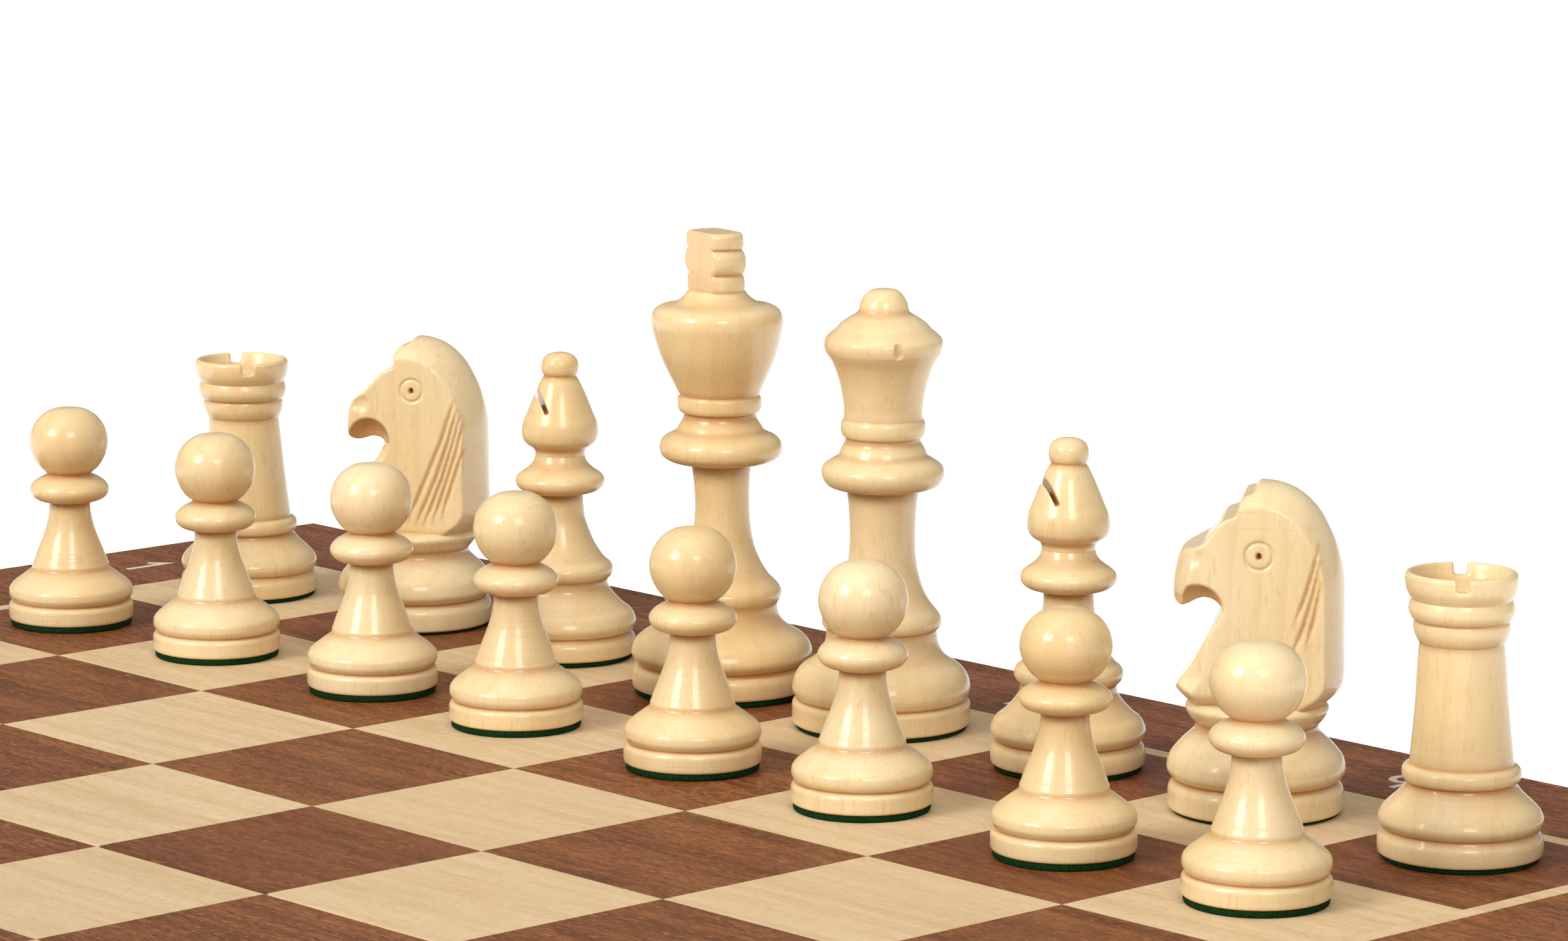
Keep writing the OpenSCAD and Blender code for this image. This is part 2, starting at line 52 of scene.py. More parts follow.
class Shader:
    """A material with one Principled shader and short ways to make the nodes that feed it."""

    def __init__(self, name):
        self.mat = bpy.data.materials.new(name)
        self.mat.use_nodes = True
        self.t = self.mat.node_tree
        self.t.nodes.clear()
        self.out = self.t.nodes.new("ShaderNodeOutputMaterial")
        self.bsdf = self.t.nodes.new("ShaderNodeBsdfPrincipled")
        self.t.links.new(self.bsdf.outputs[0], self.out.inputs[0])

    def put(self, socket, value):
        if isinstance(value, bpy.types.NodeSocket):
            self.t.links.new(value, socket)
        elif isinstance(value, (tuple, list)):
            v = list(value)
            n = len(socket.default_value)
            socket.default_value = (v + [1.0] * n)[:n]
        else:
            socket.default_value = value

    def attr(self, name, kind="Fac"):
        n = self.t.nodes.new("ShaderNodeAttribute")
        n.attribute_name = name
        return n.outputs[kind]

    def coords(self):
        return self.t.nodes.new("ShaderNodeTexCoord").outputs["Object"]

    def scaled(self, vec, s, loc=(0, 0, 0)):
        n = self.t.nodes.new("ShaderNodeMapping")
        self.t.links.new(vec, n.inputs["Vector"])
        n.inputs["Scale"].default_value = s
        n.inputs["Location"].default_value = loc
        return n.outputs[0]

    def noise(self, vec, scale=1.0, detail=2.0, rough=0.5, out=0):
        n = self.t.nodes.new("ShaderNodeTexNoise")
        self.t.links.new(vec, n.inputs["Vector"])
        n.inputs["Scale"].default_value = scale
        n.inputs["Detail"].default_value = detail
        n.inputs["Roughness"].default_value = rough
        return n.outputs[out]

    def math(self, op, a, b=None, c=None, clamp=False):
        n = self.t.nodes.new("ShaderNodeMath")
        n.operation = op
        n.use_clamp = clamp
        self.put(n.inputs[0], a)
        if b is not None:
            self.put(n.inputs[1], b)
        if c is not None:
            self.put(n.inputs[2], c)
        return n.outputs[0]

    def vmath(self, op, a, b=None):
        n = self.t.nodes.new("ShaderNodeVectorMath")
        n.operation = op
        self.put(n.inputs[0], a)
        if b is not None:
            self.put(n.inputs[1], b)
        return n.outputs["Value"] if op in ("LENGTH", "DOT_PRODUCT") else n.outputs[0]

    def step(self, x, lo, hi):
        n = self.t.nodes.new("ShaderNodeMapRange")
        n.interpolation_type = "SMOOTHSTEP"
        self.put(n.inputs["Value"], x)
        n.inputs["From Min"].default_value = lo
        n.inputs["From Max"].default_value = hi
        return n.outputs[0]

    def mix(self, fac, a, b, blend="MIX"):
        n = self.t.nodes.new("ShaderNodeMix")
        n.data_type = "RGBA"
        n.blend_type = blend
        self.put(n.inputs[0], fac)
        self.put(n.inputs[6], a)
        self.put(n.inputs[7], b)
        return n.outputs[2]

    def bump(self, height, dist, strength=1.0, normal=None):
        n = self.t.nodes.new("ShaderNodeBump")
        n.inputs["Strength"].default_value = strength
        n.inputs["Distance"].default_value = dist
        self.t.links.new(height, n.inputs["Height"])
        if normal is not None:
            self.t.links.new(normal, n.inputs["Normal"])
        return n.outputs[0]

    def set(self, **kw):
        names = {"color": "Base Color", "rough": "Roughness", "metal": "Metallic", "coat": "Coat Weight",
                 "coat_rough": "Coat Roughness", "normal": "Normal", "ior": "IOR", "spec": "Specular IOR Level",
                 "sheen": "Sheen Weight", "sheen_rough": "Sheen Roughness", "coat_normal": "Coat Normal"}
        for k, v in kw.items():
            self.put(self.bsdf.inputs[names[k]], v)
        return self.mat


def man_wood(name, pale, deep, line, groove, fleck_amount, rough):
    """Lacquered turned hardwood. Grain runs along the third wood coordinate; coordinates are in centimetres."""
    s = Shader(name)
    wc = s.attr("wood", "Vector")
    warp = s.noise(s.scaled(wc, (0.5, 0.5, 0.12)), 1.0, 2.0)
    flat = s.vmath("MULTIPLY", wc, (1.0, 1.0, 0.0))
    dist = s.vmath("LENGTH", flat)
    ring = s.math("ADD", s.math("MULTIPLY", dist, 2.6), s.math("MULTIPLY", warp, 2.2))
    saw = s.math("FRACT", ring)
    late = s.math("MULTIPLY", s.step(saw, 0.45, 0.96), s.math("SUBTRACT", 1.0, s.step(saw, 0.965, 1.0)))
    patch = s.noise(s.scaled(wc, (0.55, 0.55, 0.25), (3, 1, 7)), 1.0, 2.0)
    fibre = s.noise(s.scaled(wc, (36, 36, 1.6)), 1.0, 3.0, 0.6)
    fleck = s.step(s.noise(s.scaled(wc, (15, 15, 3.2), (9, 2, 4)), 1.0, 1.0), 0.60, 0.72)
    base = s.mix(s.math("MULTIPLY_ADD", s.attr("tone"), 0.75, s.math("MULTIPLY", s.step(patch, 0.35, 0.7), 0.35)), pale, deep)
    base = s.mix(s.math("MULTIPLY", late, s.math("MULTIPLY_ADD", s.step(patch, 0.35, 0.65), 0.16, 0.05)), base, line)
    base = s.mix(s.math("MULTIPLY", s.step(fibre, 0.42, 0.75), 0.20), base, line)
    base = s.mix(s.math("MULTIPLY", fleck, fleck_amount), base, line)
    # painted shade: grooves, cuts and faces that look down are mixed towards the darker, warmer groove colour
    painted_shade = s.math("MULTIPLY", s.attr("painted_shade"), s.math("MULTIPLY_ADD", patch, 0.8, 0.70), clamp=True)
    base = s.mix(painted_shade, base, groove)
    lines = s.noise(s.scaled(wc, (0.25, 0.25, 48.0)), 1.0, 3.0, 0.7)
    where = s.step(s.noise(s.scaled(wc, (0.5, 0.5, 0.9), (2, 7, 3)), 1.0, 1.0), 0.40, 0.62)
    turned_lines = s.math("MULTIPLY", s.step(lines, 0.50, 0.72), where)
    base = s.mix(s.math("MULTIPLY", turned_lines, 0.20), base, line)
    grain = s.noise(s.scaled(wc, (30, 30, 22)), 1.0, 2.0, 0.6)
    h = s.math("ADD", s.math("MULTIPLY", fibre, 0.5), s.math("MULTIPLY", grain, 0.8))
    h = s.math("ADD", h, s.math("MULTIPLY", turned_lines, -0.5))
    nrm = s.bump(h, 0.00006, 0.62)
    r = s.math("MULTIPLY_ADD", s.noise(s.scaled(wc, (3, 3, 1.5), (5, 5, 5)), 1.0, 2.0), 0.10, rough - 0.05)
    return s.set(color=base, rough=r, coat=0.28, coat_rough=0.07, normal=nrm, ior=1.45, spec=0.38)


def veneer(name, main, dark, light, pore, pore_amount, fleck_amount, dash_amount):
    """Sliced veneer under satin lacquer. Grain runs along the first wood coordinate, in centimetres."""
    s = Shader(name)
    wc = s.attr("wood", "Vector")
    warp = s.noise(s.scaled(wc, (0.10, 0.8, 0.8)), 1.0, 2.0, out=1)
    ripple = s.noise(s.scaled(wc, (2.2, 3.0, 1.0), (6, 2, 3)), 1.0, 2.0, out=1)
    w2 = s.vmath("ADD", wc, s.vmath("MULTIPLY", warp, (0.0, 0.25, 0.0)))
    w2 = s.vmath("ADD", w2, s.vmath("MULTIPLY", ripple, (0.0, 0.045, 0.0)))
    band = s.noise(s.scaled(w2, (0.12, 2.6, 1.0)), 1.0, 3.0, 0.55)
    fibre = s.noise(s.scaled(w2, (1.7, 42, 8)), 1.0, 3.0, 0.65)
    ribbon = s.noise(s.scaled(w2, (0.9, 7.5, 2.0), (4, 4, 4)), 1.0, 2.0)
    dash = s.step(s.noise(s.scaled(w2, (3.4, 24, 6), (2, 6, 4)), 1.0, 2.5, 0.6), 0.50, 0.66)
    pores = s.step(s.noise(s.scaled(w2, (5.5, 62, 9), (1, 8, 2)), 1.0, 1.5), 0.55, 0.66)
    fleck = s.step(s.noise(s.scaled(w2, (5.5, 20, 6), (7, 3, 5)), 1.0, 1.5), 0.56, 0.70)
    c = s.mix(s.step(band, 0.30, 0.72), main, dark)
    c = s.mix(s.math("MULTIPLY", s.step(ribbon, 0.42, 0.70), 0.40), c, light)
    c = s.mix(s.math("MULTIPLY", s.step(fibre, 0.40, 0.74), 0.45), c, dark)
    c = s.mix(s.math("MULTIPLY", dash, dash_amount), c, dark)
    # light flecks: partly the veneer's own figure, partly painted sheen
    c = s.mix(s.math("MULTIPLY", fleck, fleck_amount), c, light)
    c = s.mix(s.math("MULTIPLY", pores, pore_amount), c, pore)
    c = s.mix(s.attr("tone"), c, dark)
    h = s.math("SUBTRACT", s.math("MULTIPLY", fibre, 0.5), s.math("MULTIPLY", pores, 0.7))
    nrm = s.bump(h, 0.00004, 0.5)
    r = s.math("MULTIPLY_ADD", s.noise(s.scaled(wc, (0.9, 0.9, 0.9)), 1.0, 2.0), 0.14, 0.40)
    return s.set(color=c, rough=r, spec=0.20, normal=nrm, ior=1.45)


def felt_mat(name, c1, c2):
    s = Shader(name)
    co = s.scaled(s.coords(), (1000, 1000, 1000))
    a = s.noise(co, 3.2, 4.0, 0.7)
    b = s.noise(co, 0.35, 2.0)
    col = s.mix(s.step(a, 0.35, 0.7), c1, c2)
    col = s.mix(s.math("MULTIPLY", b, 0.35), col, c1)
    nrm = s.bump(a, 0.0003, 0.8)
    return s.set(color=col, rough=0.95, normal=nrm, spec=0.1)


def brass_mat(name):
    s = Shader(name)
    co = s.scaled(s.coords(), (1000, 1000, 1000))
    n = s.noise(co, 0.45, 3.0)
    scr = s.noise(s.scaled(co, (0.5, 9.0, 9.0)), 1.0, 3.0)
    col = s.mix(s.step(n, 0.35, 0.75), (0.80, 0.56, 0.20), (0.60, 0.38, 0.12))
    r = s.math("MULTIPLY_ADD", scr, 0.22, 0.14)
    nrm = s.bump(scr, 0.00003, 0.4)
    return s.set(color=col, metal=1.0, rough=r, normal=nrm)


def ply_mat(name):
    s = Shader(name)
    co = s.scaled(s.coords(), (100, 100, 100))
    z = s.math("FRACT", s.math("MULTIPLY", s.vmath("DOT_PRODUCT", co, (0, 0, 1)), 10.0))
    fib = s.noise(s.scaled(co, (0.8, 14, 14)), 1.0, 4.0, 0.6)
    col = s.mix(s.step(z, 0.4, 0.6), (0.62, 0.45, 0.26), (0.42, 0.27, 0.13))
    col = s.mix(s.math("MULTIPLY", fib, 0.4), col, (0.34, 0.21, 0.10))
    return s.set(color=col, rough=0.7, normal=s.bump(fib, 0.00008, 0.5))


# The fourth colour of each man's wood is painted shade, used in grooves, cuts and under overhangs.
LIGHT_MAN = man_wood("light_man_wood", (0.80, 0.650, 0.395), (0.71, 0.485, 0.210), (0.62, 0.39, 0.160), (0.50, 0.235, 0.070), 0.30, 0.29)
DARK_MAN = man_wood("dark_man_wood", (0.155, 0.060, 0.026), (0.085, 0.032, 0.015), (0.030, 0.012, 0.007), (0.022, 0.009, 0.005), 0.30, 0.28)
# the next to last value is the amount of light flecks, partly the veneer's figure and partly painted sheen
DARK_VEN = veneer("mahogany_veneer", (0.268, 0.090, 0.027), (0.120, 0.036, 0.012), (0.44, 0.170, 0.060), (0.042, 0.014, 0.006), 0.85, 0.62, 0.75)
LIGHT_VEN = veneer("maple_veneer", (0.70, 0.520, 0.310), (0.57, 0.400, 0.215), (0.76, 0.600, 0.380), (0.42, 0.27, 0.130), 0.50, 0.30, 0.32)
FRAME_WOOD = veneer("frame_mahogany", (0.225, 0.080, 0.029), (0.120, 0.040, 0.015), (0.32, 0.125, 0.048), (0.050, 0.017, 0.008), 0.75, 0.35, 0.45)
# the felt's two colours are its lit and its shaded colour, mixed as a fine mottle, so the mottle is partly painted
# shade
FELT = felt_mat("green_felt", (0.003, 0.020, 0.005), (0.010, 0.062, 0.014))
LINING = felt_mat("green_lining_felt", (0.018, 0.105, 0.045), (0.050, 0.20, 0.085))
BRASS = brass_mat("brass")
PLY = ply_mat("plywood")


def inlay_mat():
    s = Shader("coordinate_inlay")
    co = s.scaled(s.coords(), (100, 100, 100))
    f = s.noise(s.scaled(co, (2, 30, 8)), 1.0, 3.0)
    col = s.mix(s.math("MULTIPLY", f, 0.6), (0.80, 0.73, 0.56), (0.64, 0.55, 0.36))
    return s.set(color=col, rough=0.38, coat=0.25, coat_rough=0.2, normal=s.bump(f, 0.00003, 0.4))


INLAY = inlay_mat()

# ------------------------------------------------------------------ mesh helpers


def make(name, verts, faces, body, mats, attrs=None, smooth=True, replaces=()):
    """verts in millimetres, faces as an integer array or list; attrs maps a name to per-vertex values."""
    me = bpy.data.meshes.new(name)
    v = np.asarray(verts, float) * MM
    if isinstance(faces, np.ndarray):
        n = len(faces)
        k = faces.shape[1]
        me.vertices.add(len(v))
        me.vertices.foreach_set("co", v.astype(np.float32).ravel())
        me.loops.add(n * k)
        me.loops.foreach_set("vertex_index", faces.astype(np.int32).ravel())
        me.polygons.add(n)
        me.polygons.foreach_set("loop_start", (np.arange(n) * k).astype(np.int32))
        me.update(calc_edges=True)
    else:
        me.from_pydata(v.tolist(), [], faces)
        me.update()
    for k2, a in (attrs or {}).items():
        a = np.asarray(a, np.float32)
        if a.ndim == 2:
            at = me.attributes.new(k2, "FLOAT_VECTOR", "POINT")
            at.data.foreach_set("vector", a.ravel())
        else:
            at = me.attributes.new(k2, "FLOAT", "POINT")
            at.data.foreach_set("value", a)
    me.polygons.foreach_set("use_smooth", np.full(len(me.polygons), smooth))
    for m in mats:
        me.materials.append(m)
    me.validate()
    o = bpy.data.objects.new(name, me)
    bpy.context.scene.collection.objects.link(o)
    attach(o, body)
    if replaces:
        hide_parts(*replaces)
    return o


def catmull(p, step):
    """Centripetal Catmull-Rom curve through the points p, sampled about every step mm."""
    p = np.asarray(p, float)
    if len(p) == 2:
        n = max(2, int(np.linalg.norm(p[1] - p[0]) / step) + 1)
        t = np.linspace(0, 1, n)[:, None]
        return p[0] * (1 - t) + p[1] * t
    q = np.vstack([2 * p[0] - p[1], p, 2 * p[-1] - p[-2]])
    out = []
    for i in range(1, len(q) - 2):
        a, b, c, d = q[i - 1], q[i], q[i + 1], q[i + 2]
        t0 = 0.0
        t1 = t0 + max(1e-6, np.linalg.norm(b - a)) ** 0.5
        t2 = t1 + max(1e-6, np.linalg.norm(c - b)) ** 0.5
        t3 = t2 + max(1e-6, np.linalg.norm(d - c)) ** 0.5
        n = max(2, int(np.linalg.norm(c - b) / step) + 1)
        t = np.linspace(t1, t2, n, endpoint=False)[:, None]
        a1 = (t1 - t) / (t1 - t0) * a + (t - t0) / (t1 - t0) * b
        a2 = (t2 - t) / (t2 - t1) * b + (t - t1) / (t2 - t1) * c
        a3 = (t3 - t) / (t3 - t2) * c + (t - t2) / (t3 - t2) * d
        b1 = (t2 - t) / (t2 - t0) * a1 + (t - t0) / (t2 - t0) * a2
        b2 = (t3 - t) / (t3 - t1) * a2 + (t - t1) / (t3 - t1) * a3
        out.append((t2 - t) / (t2 - t1) * b1 + (t - t1) / (t2 - t1) * b2)
    out.append(p[-1:])
    return np.vstack(out)


def resample(p, step):
    d = np.r_[0, np.cumsum(np.linalg.norm(np.diff(p, axis=0), axis=1))]
    keep = np.r_[True, np.diff(d) > 1e-9]
    p, d = p[keep], d[keep]
    n = max(2, int(round(d[-1] / step)) + 1)
    s = np.linspace(0, d[-1], n)
    return np.c_[np.interp(s, d, p[:, 0]), np.interp(s, d, p[:, 1])]


def gauss(p, sigma, step):
    """Gaussian smoothing along a curve that keeps its two ends."""
    r = int(math.ceil(3 * sigma / step))
    r = min(r, len(p) - 1)
    k = np.exp(-0.5 * (np.arange(-r, r + 1) * step / sigma) ** 2)
    k /= k.sum()
    a = np.vstack([2 * p[0] - p[r:0:-1], p, 2 * p[-1] - p[-2:-r - 2:-1]])
    return np.c_[np.convolve(a[:, 0], k, "valid"), np.convolve(a[:, 1], k, "valid")]


def curve(pts, sigma=0.10, step=0.05):
    """A profile from points (r, z) or (r, z, 1), where 1 marks a crisp corner."""
    runs, cur = [], [pts[0][:2]]
    for q in pts[1:]:
        cur.append(q[:2])
        if len(q) > 2:
            runs.append(cur)
            cur = [q[:2]]
    if len(cur) > 1:
        runs.append(cur)
    p = np.vstack([catmull(r, step) for r in runs])
    p = resample(p, step)
    return gauss(p, sigma, step)


def painted_shade_amounts(p, step=0.05):
    """Painted shade for each point of a profile, 0 to 1: how far it lies in a groove or faces down."""
    wide = gauss(p, 0.9, step)
    t = np.gradient(p, axis=0)
    t /= np.linalg.norm(t, axis=1)[:, None] + 1e-12
    nrm = np.c_[t[:, 1], -t[:, 0]]
    deep = ((wide - p) * nrm).sum(1)
    down = np.clip((-nrm[:, 1] - 0.25) / 0.75, 0, 1)
    return np.clip(np.clip(deep / 0.34, 0, 1) * 0.85 + down * 0.55, 0, 1)


def thin(p, extra, tol=0.006, longest=1.1):
    """Douglas-Peucker thinning that also keeps edges no longer than longest."""
    keep = np.zeros(len(p), bool)
    keep[0] = keep[-1] = True
    stack = [(0, len(p) - 1)]
    while stack:
        a, b = stack.pop()
        if b - a < 2:
            continue
        d = p[b] - p[a]
        L = np.linalg.norm(d)
        q = p[a + 1:b] - p[a]
        dist = np.abs(d[0] * q[:, 1] - d[1] * q[:, 0]) / L if L > 1e-9 else np.linalg.norm(q, axis=1)
        i = int(dist.argmax())
        if dist[i] > tol or L > longest:
            m = a + 1 + (i if dist[i] > tol else (b - a) // 2 - 1)
            keep[m] = True
            stack += [(a, m), (m, b)]
    return p[keep], extra[keep]


def lathe(p, painted_shade, angles):
    """Revolves a profile that starts and ends on the axis."""
    n, m = len(p), len(angles)
    mid = p[1:-1]
    x = mid[:, :1] * np.cos(angles)[None, :]
    y = mid[:, :1] * np.sin(angles)[None, :]
    z = np.repeat(mid[:, 1:], m, axis=1)
    v = np.vstack([[0, 0, p[0, 1]], np.stack([x, y, z], -1).reshape(-1, 3), [0, 0, p[-1, 1]]])
    tt = np.r_[painted_shade[0], np.repeat(painted_shade[1:-1], m), painted_shade[-1]]
    j = np.arange(m)
    j2 = (j + 1) % m
    faces = [np.stack([np.zeros(m, int), 1 + j2, 1 + j], -1)]
    quads = []
    for i in range(n - 3):
        a = 1 + i * m
        quads.append(np.stack([a + j, a + j2, a + m + j2, a + m + j], -1))
    last = len(v) - 1
    a = 1 + (n - 3) * m
    faces.append(np.stack([a + j, a + j2, np.full(m, last)], -1))
    q = np.vstack(quads)
    return v, q, np.vstack(faces), tt


def ring_angles(n, dense=(), width=0.12, extra=12):
    a = list(np.linspace(0, 2 * np.pi, n, endpoint=False))
    for c in dense:
        a = [x for x in a if abs((x - c + np.pi) % (2 * np.pi) - np.pi) > width]
        a += [c + w for w in np.linspace(-width, width, extra)]
    a = np.array(sorted(x % (2 * np.pi) for x in a))
    return a[np.r_[True, np.diff(a) > 1e-4]]


# ------------------------------------------------------------------ carved shapes, as distance fields


def smax(a, b, k):
    h = np.maximum(k - np.abs(a - b), 0) / k
    return np.maximum(a, b) + h * h * k * 0.25


class Outline:
    """Signed distance to a closed outline, kept in a table."""

    def __init__(self, p, lo, hi, res=0.1):
        self.lo, self.res = np.array(lo, float), res
        xs = np.arange(lo[0], hi[0] + res, res)
        ys = np.arange(lo[1], hi[1] + res, res)
        X, Y = np.meshgrid(xs, ys, indexing="ij")
        best = np.full(X.shape, 1e9)
        inside = np.zeros(X.shape, bool)
        q = np.roll(p, -1, axis=0)
        for (ax, ay), (bx, by) in zip(p, q):
            ex, ey = bx - ax, by - ay
            L = ex * ex + ey * ey
            if L < 1e-12:
                continue
            t = np.clip(((X - ax) * ex + (Y - ay) * ey) / L, 0, 1)
            best = np.minimum(best, (X - ax - t * ex) ** 2 + (Y - ay - t * ey) ** 2)
            if ay != by:
                cross = ((ay > Y) != (by > Y)) & (X < (bx - ax) * (Y - ay) / (by - ay) + ax)
                inside ^= cross
        self.t = np.where(inside, -1, 1) * np.sqrt(best)

    def __call__(self, x, y):
        u = (x - self.lo[0]) / self.res
        v = (y - self.lo[1]) / self.res
        u = np.clip(u, 0, self.t.shape[0] - 1.001)
        v = np.clip(v, 0, self.t.shape[1] - 1.001)
        i, j = u.astype(int), v.astype(int)
        a, b = u - i, v - j
        t = self.t
        return (t[i, j] * (1 - a) * (1 - b) + t[i + 1, j] * a * (1 - b)
                + t[i, j + 1] * (1 - a) * b + t[i + 1, j + 1] * a * b)


def nets(f, lo, hi, h):
    """Naive surface nets of f < 0, then pulled onto f = 0. Returns vertices and quads."""
    ax = [np.arange(lo[i], hi[i] + h, h) for i in range(3)]
    X, Y, Z = np.meshgrid(*ax, indexing="ij")
    F = f(X, Y, Z).astype(np.float32)
    n = np.array(F.shape)
    c = [F[i:n[0] - 1 + i, j:n[1] - 1 + j, k:n[2] - 1 + k] for i in (0, 1) for j in (0, 1) for k in (0, 1)]
    neg = sum((q < 0).astype(np.int8) for q in c)
    act = (neg > 0) & (neg < 8)
    I = np.argwhere(act)
    off = [(i, j, k) for i in (0, 1) for j in (0, 1) for k in (0, 1)]
    vals = np.stack([q[act] for q in c], 1)
    pos = np.zeros((len(I), 3))
    cnt = np.zeros(len(I))
    for a in range(8):
        for b in range(a + 1, 8):
            d = [abs(off[a][i] - off[b][i]) for i in range(3)]
            if sum(d) != 1:
                continue
            fa, fb = vals[:, a], vals[:, b]
            m = (fa < 0) != (fb < 0)
            t = np.where(m, fa / np.where(m, fa - fb, 1), 0)
            pa, pb = np.array(off[a], float), np.array(off[b], float)
            pos += np.where(m[:, None], pa + t[:, None] * (pb - pa), 0)
            cnt += m
    v = (I + pos / cnt[:, None]) * h + np.array([a[0] for a in ax])
    idx = np.full(act.shape, -1, np.int64)
    idx[act] = np.arange(len(I))
    quads = []
    for d in range(3):
        e1, e2 = (d + 1) % 3, (d + 2) % 3
        sl0 = [slice(None)] * 3
        sl1 = [slice(None)] * 3
        sl0[d] = slice(0, n[d] - 1)
        sl1[d] = slice(1, n[d])
        s0, s1 = F[tuple(sl0)] < 0, F[tuple(sl1)] < 0
        E = np.argwhere(s0 != s1)
        ok = (E[:, e1] > 0) & (E[:, e1] < n[e1] - 1) & (E[:, e2] > 0) & (E[:, e2] < n[e2] - 1)
        E = E[ok]
        sgn = s0[tuple(E.T)]
        def cell(da, db):
            q = E.copy()
            q[:, e1] -= da
            q[:, e2] -= db
            return idx[tuple(q.T)]
        q = np.stack([cell(1, 1), cell(0, 1), cell(0, 0), cell(1, 0)], 1)
        q[~sgn] = q[~sgn][:, ::-1]
        quads.append(q)
    quads = np.vstack(quads)
    g = 0.02
    for _ in range(3):
        fv = f(v[:, 0], v[:, 1], v[:, 2])
        gr = np.stack([(f(v[:, 0] + g * (i == 0), v[:, 1] + g * (i == 1), v[:, 2] + g * (i == 2))
                        - f(v[:, 0] - g * (i == 0), v[:, 1] - g * (i == 1), v[:, 2] - g * (i == 2))) / (2 * g) for i in range(3)], 1)
        L2 = (gr ** 2).sum(1)
        mv = -(fv / np.maximum(L2, 0.2))[:, None] * gr
        L = np.linalg.norm(mv, axis=1)
        mv *= np.minimum(1, 0.5 * h / np.maximum(L, 1e-9))[:, None]
        v = v + mv
    return v, quads


def closed(pts, sigma=0.12, step=0.08):
    """A smooth closed outline; points marked with 1 stay crisp."""
    return curve(list(pts) + [pts[0]], sigma, step)[:-1]


# ------------------------------------------------------------------ profiles, mm, from the standing face up

FELT_T = {"pawn": 1.05, "rook": 0.75, "bishop": 0.85, "queen": 0.75, "king": 1.0, "knight": 0.45}


def foot(r, ru, zg=4.45, zt=5.1, ft=1.05):
    """Foot with a crisp V groove above it; ru is the radius of the moulding over the groove."""
    return [(0, ft), (r - 0.45, ft, 1), (r - 0.12, ft + 0.18), (r, ft + 0.7), (r, 2.6), (r - 0.02, zg - 0.75),
            (r - 0.25, zg - 0.3, 1), (r - 0.85, zg, 1), (ru - 0.35, zt - 0.15, 1)]


def foot_round(r, ru, zg=4.5, zt=5.3, dip=0.75, ft=0.75):
    """Foot whose top edge is eased into a wider groove."""
    return [(0, ft), (r - 0.45, ft, 1), (r - 0.12, ft + 0.18), (r, ft + 0.7), (r + 0.03, 2.3), (r, zg - 1.5), (r - 0.15, zg - 0.95), (r - 0.45, zg - 0.45),
            (r - dip, zg - 0.12), (r - dip - 0.1, zg + 0.12), (ru - 0.35, zt - 0.25, 1)]


PAWN = foot(10.8, 10.8, 4.3, 4.95) + [
    (10.72, 5.4), (10.74, 5.9), (10.62, 6.6), (10.1, 7.3), (9.25, 8.0), (8.1, 8.85), (7.2, 9.5), (6.86, 9.78, 1), (6.68, 10.1), (6.63, 10.75, 1), (6.48, 10.95, 1),
    (6.15, 12.0), (5.6, 13.4), (4.88, 15.2), (4.2, 17.2), (3.76, 19.2), (3.6, 20.8), (3.64, 21.5), (3.8, 21.7, 1), (5.0, 21.85), (6.15, 22.4), (6.78, 23.3), (6.84, 24.1),
    (6.35, 24.95), (5.3, 25.75), (4.2, 26.3), (3.85, 26.5, 1), (3.8, 26.62, 1), (4.2, 26.95), (5.05, 27.7), (5.95, 29.0), (6.55, 30.4), (6.82, 31.8), (6.72, 33.2),
    (6.3, 34.6), (5.6, 35.8), (4.55, 36.9), (3.1, 37.75), (1.5, 38.1), (0, 38.15)]

ROOK_LOW = foot_round(12.15, 12.1, 4.5, 5.2, 0.62) + [
    (12.08, 5.7), (12.1, 6.3), (11.65, 7.3), (10.75, 8.3), (9.65, 9.3), (8.7, 10.3), (8.15, 11.1), (8.02, 11.55, 1), (8.45, 11.75), (8.72, 12.3), (8.74, 13.1),
    (8.5, 13.7), (8.05, 14.05, 1), (7.66, 14.25, 1), (7.5, 16.1), (7.15, 19.9), (6.83, 23.7), (6.59, 27.5), (6.32, 31.3), (6.22, 32.1, 1),
    (6.65, 32.75), (7.0, 33.7), (7.1, 34.5), (7.08, 35.1, 1), (6.9, 35.4, 1), (7.3, 35.75), (7.65, 36.4), (7.8, 37.1), (7.66, 37.9),
    (7.45, 38.5, 1), (7.3, 38.7, 1), (0, 38.7)]
ROOK_TOP = [(0, 38.35), (7.3, 38.35, 1), (7.42, 38.62, 1), (7.75, 39.2), (8.05, 39.9), (8.25, 40.8), (8.28, 41.6), (8.2, 42.15), (7.95, 42.5),
            (7.6, 42.6), (7.3, 42.45), (7.1, 42.0), (6.85, 41.2), (6.6, 40.5), (6.2, 39.95), (5.2, 39.5), (3.0, 39.3), (0, 39.25)]

